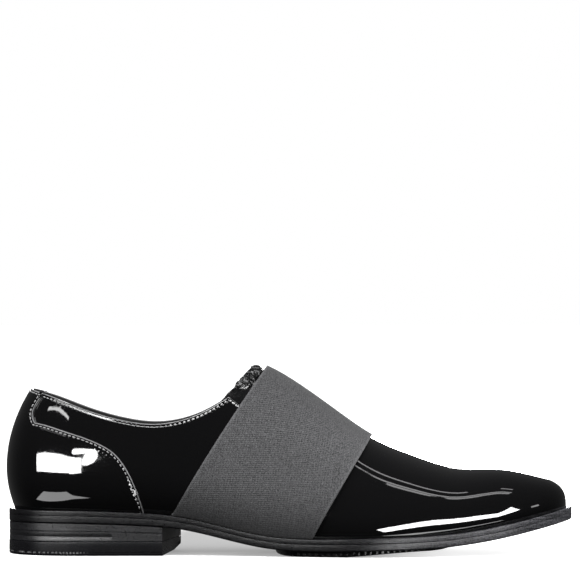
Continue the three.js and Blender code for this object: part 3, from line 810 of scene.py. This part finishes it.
def upper_places():
    """The columns of the upper along one side, finer round the throat's corners."""
    turns = np.linspace(0, QUARTER_TURN, int((S_THROAT - S_CORNER) / THROAT_STEP))
    u = np.sin(turns) * (len(THROAT_AT) - 1)
    throat = S_CORNER + (S_THROAT - S_CORNER) * np.interp(u, np.arange(len(THROAT_AT)), THROAT_AT)
    throat[-1] = S_THROAT
    return np.concatenate([
        steps_between(S_BACK, S_CORNER, QUARTER_STEP), throat[1:],
        steps_between(S_THROAT, S_NOSE, VAMP_STEP)[1:], steps_between(S_NOSE, S_TIP, NOSE_STEP)[1:],
    ])


def round_the_back(places):
    """Columns from the inner side of the toe round the back to its outer side."""
    s = np.concatenate([places[::-1], places[1:]])
    side = np.concatenate([np.full(len(places), INNER), np.full(len(places) - 1, OUTER)])
    return s, side


def upper_grid(places, rows, power_at_collar):
    """A grid over the upper, with its rows closer together towards the collar."""
    s, side = round_the_back(places)
    past = ease((s - S_CORNER) / (S_THROAT - S_CORNER))
    power = power_at_collar + (1 - power_at_collar) * past
    t = np.linspace(0, 1, rows)[None, :]
    return over_rows(s, side, opening_angle(s, side)[:, None] * (1 - (1 - t) ** power[:, None]))


def stand_off(points):
    """How far the leather stands off the last at points of its skin: its creases and its fullness."""
    total = np.zeros(points.shape[:-1])
    for x0, z0, length, width, turn, rise in CREASES:
        dx, dz = points[..., 0] - x0, points[..., 2] - z0
        c, n = math.cos(math.radians(turn)), math.sin(math.radians(turn))
        total += rise * np.exp(-((dx * c + dz * n) / length) ** 2 - ((dz * c - dx * n) / width) ** 2)
    row = section(points[..., 0])
    over_feather = points[..., 2] - row["feather"]
    on_ridge = ease((over_feather / row["rise"] - 0.25) / 0.7)
    fuller = np.interp(points[..., 0], FULL_AT, FULL_RISE) * on_ridge
    return total * ease(over_feather / 3) * (points[..., 1] < 0) + fuller


def turned_edge(s, to_edge):
    """The soft roll of the collar's turned edge, which ends before the band."""
    in_front = ease((s - (S_THROAT - 14)) / 12)
    return 0.22 * np.exp(-((to_edge - 0.7) / 0.8) ** 2) * (1 - in_front)


def make_upper(material):
    grid = upper_grid(upper_places(), UPPER_ROWS, 1.8)
    base = skin(*grid)
    to_edge = arc_between(base)
    points = lifted(*grid, stand_off(base) + turned_edge(grid[0], to_edge))
    upper = cloth_grid("upper_patent", points)
    in_edit(upper, weld)
    make_wall(upper, PATENT_THICKNESS, 0.42)

    # The stitch row under the collar, from under the band back to the counter's tail
    normal = outward(*grid)
    s, side = grid[0][:, 0], grid[1][:, 0]
    rows = []
    for which in (OUTER, INNER):
        chosen = (side == which) & (s > S_BACK * TAIL_TURN[-1] - 1) & (s < S_CORNER + THROAT_STITCHES)
        line, ways = (at_distance(v[chosen], to_edge[chosen], COLLAR_STITCH_DROP) for v in (points, normal))
        rows.append(even_row(line, ways)[:2])
    mark_seams(upper, rows)
    settle(upper, "patent_leather", material, "upper")
    return rows


def make_lining(material):
    """The lining lies inside the patent leather and ends just under its turned edge."""
    places = np.unique(np.concatenate([upper_places()[::2], [S_BACK, S_TIP]]))
    grid = upper_grid(places, LINING_ROWS, 1.3)
    inside = PATENT_THICKNESS + LINING_GAP
    lining = cloth_grid("upper_lining", lifted(*grid, stand_off(skin(*grid)) - inside))
    in_edit(lining, weld)
    make_wall(lining, UPPER_WALL - inside, 0.2, 2)
    settle(lining, "lining_leather", material)


# The counter
def seam_places(count):
    """Points down the counter's seam: s and height."""
    u = np.linspace(0, 1, count) * (len(SEAM_AT) - 1)
    at, up = (np.interp(u, np.arange(len(SEAM_AT)), column) for column in (SEAM_AT, SEAM_UP))
    x = at * COUNTER_LENGTH
    z = section(x)["feather"] * (1 - up) + (SEAT_HEIGHT + BACK_HEIGHT) * up
    back = back_at(z - SEAT_HEIGHT)
    turn = np.arcsin(np.clip((HEEL_ROUND - x) / (HEEL_ROUND - back), 0, 1))
    return np.where(x > HEEL_ROUND, x - HEEL_ROUND, -HEEL_ROUND * turn), z


def counter_body(seam_s, seam_z):
    """The grid of the counter below its tail."""
    across = np.linspace(0, 1, TAIL_COLUMNS + 1)
    body_s = np.concatenate([S_BACK + (seam_s[0] - S_BACK) * across, seam_s[1:]])
    body_z = np.concatenate([np.full(TAIL_COLUMNS + 1, seam_z[0]), seam_z[1:]])
    s, side = round_the_back(body_s)
    top = angle_at(s, side, round_the_back(body_z)[0])
    t = np.linspace(0, 1, COUNTER_ROWS)[None, :]
    return over_rows(s, side, top[:, None] * (1 - (1 - t) ** 1.25))


def counter_tail(seam_s, seam_z):
    """The grid of the tail, which goes on from the seam's back corner up to the collar."""
    up = np.linspace(0, 1, TAIL_ROWS)
    edge = S_BACK * np.interp(up, TAIL_AT, TAIL_TURN)
    edge = edge + (seam_s[0] - edge[0]) * (1 - up) ** 4
    share, side = round_the_back(np.linspace(0, 1, TAIL_COLUMNS + 1))
    s = S_BACK + (edge[None, :] - S_BACK) * share[:, None]
    side2 = np.broadcast_to(side[:, None], s.shape)
    start = angle_at(s[:, 0], side, seam_z[0])[:, None]
    return s, side2, start + (opening_angle(s, side2) - start) * up[None, :]


def seam_line(body, tail, which):
    """The values of two grids up one of the counter's seams, from its foot to the collar."""
    if which == INNER:
        return np.concatenate([body[:SEAM_COLUMNS, -1], tail[0, 1:]])
    return np.concatenate([body[-SEAM_COLUMNS:, -1][::-1], tail[-1, 1:]])


def make_counter(material):
    seam = seam_places(SEAM_COLUMNS)
    body_grid, tail_grid = counter_body(*seam), counter_tail(*seam)
    body, tail = skin(*body_grid), skin(*tail_grid)
    seams = [seam_line(body, tail, which) for which in (INNER, OUTER)]
    tree = tree_of(np.concatenate([*seams, tail[:, -1]]))

    def skived(away):
        """The height of the face over the last, thinner towards the free edge."""
        thin, full = COUNTER_SKIVED + 0.35, LAYER_GAP + COUNTER_THICKNESS
        return thin + (full - thin) * ease(away / COUNTER_SKIVE_WIDTH)

    def lift(points):
        away = np.array([tree.find(p)[2] for p in points.reshape(-1, 3)]).reshape(points.shape[:-1])
        return skived(away) + stand_off(points)

    counter = join(
        "heel_counter_patent", cloth_grid("counter_body", lifted(*body_grid, lift(body))),
        cloth_grid("counter_tail", lifted(*tail_grid, lift(tail))),
    )
    in_edit(counter, weld)
    make_wall(counter, COUNTER_SKIVED + 0.3, 0.3)

    # The stitch rows: inside both seams, and under the collar across the tail
    body_ways, tail_ways = outward(*body_grid), outward(*tail_grid)
    rows = []
    for which, edge in zip((INNER, OUTER), seams):
        line, ways, at = even_row(edge, seam_line(body_ways, tail_ways, which))
        inward = np.cross(unit(np.gradient(line, axis=0)), ways) * which
        line = line + inward * SEAM_STITCH_INSET + ways * (skived(SEAM_STITCH_INSET) + 0.08)
        keep = (line[:, 2] > section(line[:, 0])["feather"] + 1.2) & (at < at[-1] - 1.5)
        rows.append((line[keep], ways[keep]))
    to_edge = arc_between(tail)
    line, ways = (at_distance(v, to_edge, COLLAR_STITCH_DROP) for v in (tail, tail_ways))
    rows.append((line + ways * lift(line)[:, None], ways))
    mark_seams(counter, rows)
    settle(counter, "patent_leather", material, "heel_counter")
    return rows


# The band and the tongue
def strap_grid(foot, angle, width, columns, rows, lowest, bow=0.0):
    """A grid over the ridge between two slanting planes, from one side's foot to the other's."""
    slant = 1 / math.tan(math.radians(angle))
    run = width / math.sin(math.radians(angle))
    half = lowest + (QUARTER_TURN - lowest) * np.linspace(0, 1, rows)
    a = np.concatenate([half, half[::-1][1:]])
    side = np.concatenate([np.full(rows, OUTER), np.full(rows - 1, INNER)])
    share = np.linspace(0, 1, columns)
    a2, side2 = (np.broadcast_to(v[None, :], (columns, len(a))) for v in (a, side))
    start = foot + share[:, None] * run

    def past(s):
        p = skin(s, side2, a2)
        height = np.clip((p[..., 2] - BALL_HEIGHT) / INSTEP_HEIGHT, 0, 1)
        return p[..., 0] + bow * 4 * height * (1 - height) - p[..., 2] * slant - start

    return (solve(past, S_BACK, S_TIP, a2.shape), side2, a2), share


def make_band():
    """The webbing swells and dips a little along its two edges, where it is stretched."""
    grid, share = strap_grid(BAND_BACK, BAND_ANGLE, BAND_WIDTH, 72, 90, 0.0, BAND_BOW)
    base = skin(*grid)
    down = along_path(base[len(base) // 2])
    length = float(down[-1])
    uv = np.stack(np.broadcast_arrays(share[:, None] * BAND_WIDTH, down[None, :]), -1)
    to_edge = np.minimum(share, 1 - share) * BAND_WIDTH
    swell = 0.12 * np.sin(down / 11.0)[None, :] * np.exp(-to_edge / 9.0)[:, None]
    lift = LAYER_GAP + BAND_THICKNESS + swell + stand_off(base)
    band = cloth_grid("elastic_band_webbing", lifted(*grid, lift), uv)
    make_wall(band, BAND_THICKNESS - 0.1, 0.35, 2)
    settle(band, "elastic_webbing", elastic_webbing(length), "elastic_band")


def ripple(p, seed, wavelength):
    """Smooth wandering noise between -1 and 1 from a few crossed waves."""
    rng = np.random.default_rng(seed)
    total = np.zeros(p.shape[:-1])
    for _ in range(9):
        direction = unit(rng.normal(size=3))
        phase = rng.uniform(0, FULL_TURN)
        total += np.sin(p @ direction * (FULL_TURN / (wavelength * rng.uniform(0.7, 1.5))) + phase)
    return total / 4.5


def make_tongue(material):
    corner = float(opening_angle(S_CORNER, OUTER))
    grid, share = strap_grid(
        TONGUE_BACK, TONGUE_ANGLE, TONGUE_LENGTH, 110, 70, corner - TONGUE_SIDE_TURN,
    )
    base = skin(*grid)
    height = base[..., 2]
    risen = ease((grid[2] - corner) / TONGUE_RISE_TURN)
    hidden = -UPPER_WALL - TONGUE_GAP
    lift = hidden + (-LAYER_GAP - hidden) * np.clip(1 - share / TONGUE_PAD_SHARE, 0, 1)[:, None] * risen

    # The top edge is a padded lobe, drawn together by a seam and gathered above it
    from_edge = share[:, None] * TONGUE_LENGTH
    lobe = ease((height - GATHERS_FROM) / 3.5)
    gathered = ease((LOBE_SEAM + 0.2 - from_edge) / 1.2) * lobe
    folds = (ripple(base, 4, 3.3) + 0.6 * ripple(base, 9, 1.9)) * 0.3 * gathered
    padded = 0.7 * np.sin(math.pi * np.clip(from_edge / LOBE_SEAM, 0, 1)) * lobe
    seam = -0.5 * np.exp(-((from_edge - LOBE_SEAM) / 0.7) ** 2) * lobe
    sunk = -2.0 * ease((height - 84) / 6)
    tongue = cloth_grid("tongue_patent", lifted(*grid, lift + folds + sunk + padded + seam))
    in_edit(tongue, lambda: bpy.ops.mesh.flip_normals())
    make_wall(tongue, TONGUE_THICKNESS, 0.8)
    no_seam_near = (0, 50, 50)
    store_marks(tongue, np.tile(no_seam_near, (len(tongue.data.vertices), 1)))
    settle(tongue, "patent_leather", material, "tongue")


# The bottom
WELT_TOP = SEAT_GAP
WELT_FOOT = WELT_TOP + WELT_THICKNESS
OUTSOLE_TOP = WELT_FOOT + SEAT_GAP
WHOLE = {"start": S_BACK, OUTER: s_tip(SOLE_LENGTH), INNER: s_tip(SOLE_LENGTH), "count": 260}
HEEL = {
    "start": S_BACK, "count": 210,
    OUTER: HEEL_BREAST_OUTER - HEEL_ROUND, INNER: HEEL_BREAST_INNER - HEEL_ROUND,
}
TREAD = {"start": -1, OUTER: 1, INNER: 1, "count": 260}
ACROSS = 15


def outline(s, side, inset, back=0.0):
    """Points of the sole's outline in plan, drawn in by an inset."""
    x, heel, nose = along(s, back + inset, SOLE_LENGTH - inset)
    row = section(x)
    return x, row["axis"] + side * (by_side(side, row["sole"]) - inset) * plan_round(heel, nose)


def round_corner(radius):
    """Points round a corner, in from the one edge and in from the other."""
    turns = np.linspace(0, QUARTER_TURN, 5)
    return [(radius * (1 - math.sin(t)), radius * (1 - math.cos(t))) for t in turns]


def edge_profile(top, foot, round_top, round_foot, lines=()):
    """The side of a layer from its top to its foot, as inset and drop, with round corners and cut lines."""
    points = [(inset, top + down) for inset, down in round_corner(round_top)]
    for at, depth, half in lines:
        cut = ((0, -1), (0.8, -0.35), (1, 0), (0.8, 0.35), (0, 1))
        points += [(depth * inwards, at + half * down) for inwards, down in cut]
    return points + [(inset, foot - up) for up, inset in round_corner(round_foot)]


def sides_of(ends, profile, place):
    """The outer and inner side of a layer. ends gives s; place turns s, side, inset and level into points."""
    share = np.linspace(0, 1, ends["count"])
    for side in (OUTER, INNER):
        s = ends["start"] + (ends[side] - ends["start"]) * share
        yield np.stack([place(s, side, inset, level) for inset, level in profile], 1)


def slab(name, ends, profile, place, cap=False):
    """A closed layer, with its two sides joined across its foot and its top."""
    outer, inner = sides_of(ends, profile, place)
    t = np.linspace(0, 1, ACROSS)[None, 1:-1, None]
    foot = outer[:, -1:] * (1 - t) + inner[:, -1:] * t
    top = inner[:, :1] * (1 - t) + outer[:, :1] * t
    obj = cloth_grid(name, np.concatenate([outer, foot, inner[:, ::-1], top, outer[:, :1]], 1))
    in_edit(obj, weld)
    if cap:
        in_edit(obj, close_holes)
    in_edit(obj, weld, face_out)
    return smooth(obj, 35)


def under_the_shoe(back=0.0):
    """Places a layer that runs the sole's whole length. Its outline shrinks evenly with the inset."""
    def place(s, side, inset, drop):
        reach = s_tip(SOLE_LENGTH - inset) - S_BACK
        x, y = outline(S_BACK + (s - S_BACK) * reach / (WHOLE[side] - S_BACK), side, inset, back)
        return np.stack([x, y, section(x)["feather"] - drop], -1)

    return place


def make_outsole(material):
    profile = edge_profile(OUTSOLE_TOP - 0.1, SOLE_EDGE, 0.12, 0.7)
    settle(slab("outsole_leather", WHOLE, profile, under_the_shoe()), "sole_edge", material, "outsole")


def make_welt(material):
    """The welt is a ring, so its loop runs down the edge, up the wall of its hole and back over a bead."""
    profile = edge_profile(WELT_TOP, WELT_FOOT, 0.45, 0.1)
    profile += [(WELT_RING_WIDTH, WELT_FOOT), (WELT_RING_WIDTH, WELT_TOP)]
    for inset in np.linspace(4.2, 0.8, 12):
        profile.append((inset, WELT_TOP + 0.12 * math.exp(-((inset - 1.6) / 0.3) ** 2)))
    profile.append(profile[0])
    outer, inner = sides_of(WHOLE, profile, under_the_shoe())
    welt = cloth_grid("welt_leather", np.concatenate([outer[::-1], inner[1:]], 0))
    in_edit(welt, weld, face_out)
    smooth(welt, 35)
    settle(welt, "sole_edge", material, "welt")


def make_insole(material):
    """A plate with a soft edge, over the plug that fills the welt's ring."""
    rim = WELT_MARGIN + UPPER_WALL + LAYER_GAP
    plug = WELT_RING_WIDTH + LAYER_GAP
    top = -INSOLE_THICKNESS
    profile = [(rim + 1.2, top), (rim + 0.4, top + 0.25), (rim, top + 0.9)]
    profile += [(rim, 0), (plug, 0), (plug, WELT_FOOT)]
    place = under_the_shoe(BACK_TUCK - WELT_MARGIN)
    insole = slab("insole_leather", {**WHOLE, "count": 180}, profile, place)
    settle(insole, "lining_leather", material, "insole")


def make_heel_block(material):
    """The stacked lifts of the heel, cut off at the breast, with a groove and a fine line round them."""
    low = TOP_LIFT_THICKNESS + SEAT_GAP

    def place(s, side, inset, level):
        x, y = outline(s, side, inset)
        seat = section(x)["feather"] - SOLE_EDGE - SEAT_GAP
        return np.stack([x, y, low + (seat - low) * (1 - level)], -1)

    groove = 1 - (HEEL_GROOVE_HEIGHT - low) / (SEAT_HEIGHT - SOLE_EDGE - SEAT_GAP - low)
    lines = ((groove, 0.28, 0.035), (groove + 0.3, 0.1, 0.02))
    profile = [(inset + 0.2, level) for inset, level in edge_profile(0, 1, 0.0, 0.0, lines)]
    block = slab("heel_block_leather", HEEL, profile, place, cap=True)
    settle(block, "sole_edge", material, "heel_block")


def make_top_lift(material):
    """The rubber at the foot of the heel, with a milled lower edge round its back."""
    def place(s, side, inset, z):
        x, _ = outline(s, side, inset)
        milled = (z > 0.25) * (z < TEETH_TOP - 0.1) * ease((TEETH_END - x) / 2)
        wave = np.abs(np.mod((s - S_BACK) / TEETH_PITCH, 1) - 0.5) * 2
        x, y = outline(s, side, inset + milled * wave * TEETH_DEPTH)
        bevel = HEEL_CORNER_BEVEL * max(0, 1 - z / HEEL_CORNER_BEVEL) if side == INNER else 0
        cut = np.clip((x - (HEEL_BREAST_INNER - 12)) / 12, 0, 1) * bevel
        return np.stack([x - cut, y, np.full(x.shape, float(z))], -1)

    profile = [(inset, TOP_LIFT_THICKNESS - down) for inset, down in round_corner(0.5)]
    profile += [(0, 5), (0, 3.4), (0, TEETH_TOP + 0.3), (0.3, TEETH_TOP + 0.12), (0.3, TEETH_TOP - 0.05)]
    profile += [(0.05, TEETH_TOP - 0.2), (0.05, 1.2)]
    profile += [(0.05 + inset, up) for up, inset in round_corner(1.1)]
    lift = slab("top_lift_rubber", {**HEEL, "count": 420}, profile, place, cap=True)
    settle(lift, "black_rubber", material, "top_lift")


def make_tread(material):
    """The pad under the ball, with a notched edge, thinner towards its front."""
    middle, reach = (TREAD_BACK + TREAD_FRONT) / 2, (TREAD_FRONT - TREAD_BACK) / 2

    def place(t, side, inset, level):
        within = inset - TREAD_MARGIN
        x = middle + np.sin(t * QUARTER_TURN) * (reach - within)
        notch = 0.55 * level * (np.mod(x / 3.2, 1) < 0.42)
        corner = np.maximum(0, (np.abs(x - middle) - reach + TREAD_CORNER) / (TREAD_CORNER - within))
        row = section(x)
        half = (row["sole"][side] - inset - notch) * end_round(corner, 2.4, 2.4)
        top = row["feather"] - SOLE_EDGE - SEAT_GAP
        thick = TREAD_THICKNESS - TREAD_FRONT_THINNING * ease((x - TREAD_THINS_AT) / 55)
        foot = np.maximum(0, top - thick)
        return np.stack([x, row["axis"] + side * half, top + (foot - top) * level], -1)

    profile = [(TREAD_MARGIN, level) for level in (0, 0.35, 0.8)] + [(TREAD_MARGIN + 0.5, 1)]
    settle(slab("forefoot_tread_rubber", TREAD, profile, place), "black_rubber", material, "forefoot_tread")


def make_shoe():
    upper_rows = make_upper(patent("patent_leather", COLLAR_STITCH_DROP - 0.2))
    make_lining(lining_leather("lining_leather", LINING_DARK, LINING_PALE))
    counter_rows = make_counter(patent("patent_leather_counter", SEAM_STITCH_INSET - 0.4))
    thread = waxed_thread()
    stitches("collar_stitches", upper_rows, thread)
    stitches("counter_stitches", counter_rows, thread)
    make_band()
    make_tongue(patent("patent_leather_gathered", 90, 0.4, 0.85, 0.13))
    forepart = sole_edge("sole_edge_leather", 0.007, 0.22)
    make_outsole(forepart)
    make_welt(forepart)
    make_insole(lining_leather("insole_leather", INSOLE_DARK, INSOLE_PALE))
    make_heel_block(sole_edge("heel_edge_leather", 0.018, 0.4))
    black = rubber()
    make_top_lift(black)
    make_tread(black)


# The floor, the light and the camera
def pale_floor():
    """A floor that glows pale, with a painted shadow under and behind the arch and painted light towards the
    toe, as in the photo.
    """
    bpy.ops.object.select_all(action="DESELECT")
    bpy.ops.mesh.primitive_plane_add(size=30)
    floor = bpy.context.object
    floor.name = "floor"
    look, place = new_look("floor_paint")
    x, y, _ = look.parts(place)
    # Painted shadow under and behind the arch, and painted light: the glow grows brighter towards the toe.
    shaded = look.ramp(x, -85, -60) * look.ramp(x, 35, -5) * look.ramp(y, -25, 15) * look.ramp(y, 330, 190)
    glow = look.blend(look.ramp(x, 30, 95), GLOW_MIDDLE, GLOW_PAINTED_TOE_LIGHT)
    paint = look.surface(
        Base_Color=look.blend(shaded, FLOOR_LIT, FLOOR_SHADED), Roughness=0.9, Specular_IOR_Level=0.1,
        Emission_Color=look.blend(shaded, glow, GLOW_SHADED), Emission_Strength=1.0,
    )
    floor.data.materials.append(paint)
    floor.visible_glossy = False
    floor.visible_diffuse = False


def studio_world():
    """White to look at, nearly dark in the gloss of the leather, and pale from above as light."""
    world = bpy.data.worlds.new("studio")
    bpy.context.scene.world = world
    look = Look(world, "OutputWorld")
    _, ahead, up = look.parts(look.term("TexCoord", out="Generated"))

    def light(strength):
        return look.term("Background", Color=(1, 1, 1), Strength=strength)

    cast = light(look.ramp(up, -0.3, 0.6, 0.02, 1.5))
    mirrored = light(look.ramp(ahead, -0.2, 1.0, 0.004, 0.06))
    unseen = look.term("MixShader", i0=look.term("LightPath", out="Is Glossy Ray"), i1=cast, i2=mirrored)
    seen = look.term("MixShader", i0=look.term("LightPath", out="Is Camera Ray"), i1=unseen, i2=light(1.0))
    look.finish(seen)


def lamp(name, place, aim, width, height, glow, roll=0.0, shape="RECTANGLE"):
    """An even panel of light. Its glow is what a mirror would show of it."""
    light = bpy.data.lights.new(name, "AREA")
    light.shape = shape
    light.size, light.size_y, light.energy = width, height, glow * math.pi * width * height
    obj = bpy.data.objects.new(name, light)
    bpy.context.scene.collection.objects.link(obj)
    obj.location = place
    obj.rotation_euler = Vector(aim).to_track_quat("-Z", "Y").to_euler()
    obj.rotation_euler.rotate_axis("Z", math.radians(roll))
    obj.visible_camera = False
    return obj


# Panels near the shoe, mirrored in its gloss and nowhere else: place in millimetres, aim, length and
# width in millimetres, glow, roll in degrees, and the shape of those that aren't rectangles
BEHIND_HEEL, DOWN, UP = (10, 90, -35), (0, 0, -1), (0, 0, 1)
PANELS = (
    ("heel_panel", (-390, -449, 172), (280, 415, -70), 550, 92, 26, 4),
    ("heel_panel_end", (-140, -271, 105), BEHIND_HEEL, 27, 46, 22, 4),
    ("heel_hook_top", (-127.5, -258.6, 139.8), BEHIND_HEEL, 27, 10, 22, 10, "ELLIPSE"),
    ("heel_hook_side", (-119.6, -264, 128.1), BEHIND_HEEL, 11.5, 37, 22, -10, "ELLIPSE"),
    ("collar_strip", (-358, -352, 359), (0.66, 0.6, -0.55), 380, 16, 9, 3),
    ("vamp_strip", (352, -581, 96), (-0.49, 0.85, -0.13), 640, 118, 26, 39.6),
    ("toe_glint", (790, -330, 290), (-0.9, 0.4, -0.3), 120, 70, 4, 0),
    ("back_panel", (-10, 750, 130), (0, -1, -0.1), 460, 55, 22, 0),
    ("tongue_glint", (-215, -245, 700), (0.28, 0.34, -0.9), 240, 180, 12, 0),
    ("ceiling_strip", (750, -530, 1530), DOWN, 370, 90, 3.4, 0),
    ("ceiling_strip", (725, -422, 1530), DOWN, 420, 70, 3.4, 0),
    ("ceiling_strip", (700, -140, 1530), DOWN, 290, 62, 3.2, 0),
    ("table_left", (-168, -100, 0.5), UP, 95, 72, 3.6, 30),
    ("table_right", (104, -72, 0.5), UP, 100, 8, 5, 6),
)


def light_up():
    lamp("overhead_soft", (-0.1, -0.6, 1.7), (0.05, 0.3, -1), 1.8, 1.3, 4.2).visible_glossy = False
    for name, place, aim, length, width, *rest in PANELS:
        place = [part * MM for part in place]
        lamp(name, place, aim, length * MM, width * MM, *rest).visible_diffuse = False


CAMERA_DISTANCE = 2.4
CAMERA_HEIGHT = 0.1418
CAMERA_X = 151.65
FRAME_WIDTH = 0.3135


def photo_camera():
    """Level, square to the shoe's outer side, at the height that shows as much of its top as the photo."""
    data = bpy.data.cameras.new("camera")
    data.sensor_width = 36
    data.lens = data.sensor_width * CAMERA_DISTANCE / FRAME_WIDTH
    data.clip_end = 100
    camera = bpy.data.objects.new("camera", data)
    bpy.context.scene.collection.objects.link(camera)
    camera.location = ((CAMERA_X + SHIFT[0]) * MM, SHIFT[1] * MM - CAMERA_DISTANCE, CAMERA_HEIGHT)
    camera.rotation_euler = (QUARTER_TURN, 0, 0)
    bpy.context.scene.camera = camera


make_shoe()
pale_floor()
studio_world()
light_up()
photo_camera()
bpy.context.scene.view_settings.view_transform = "Standard"
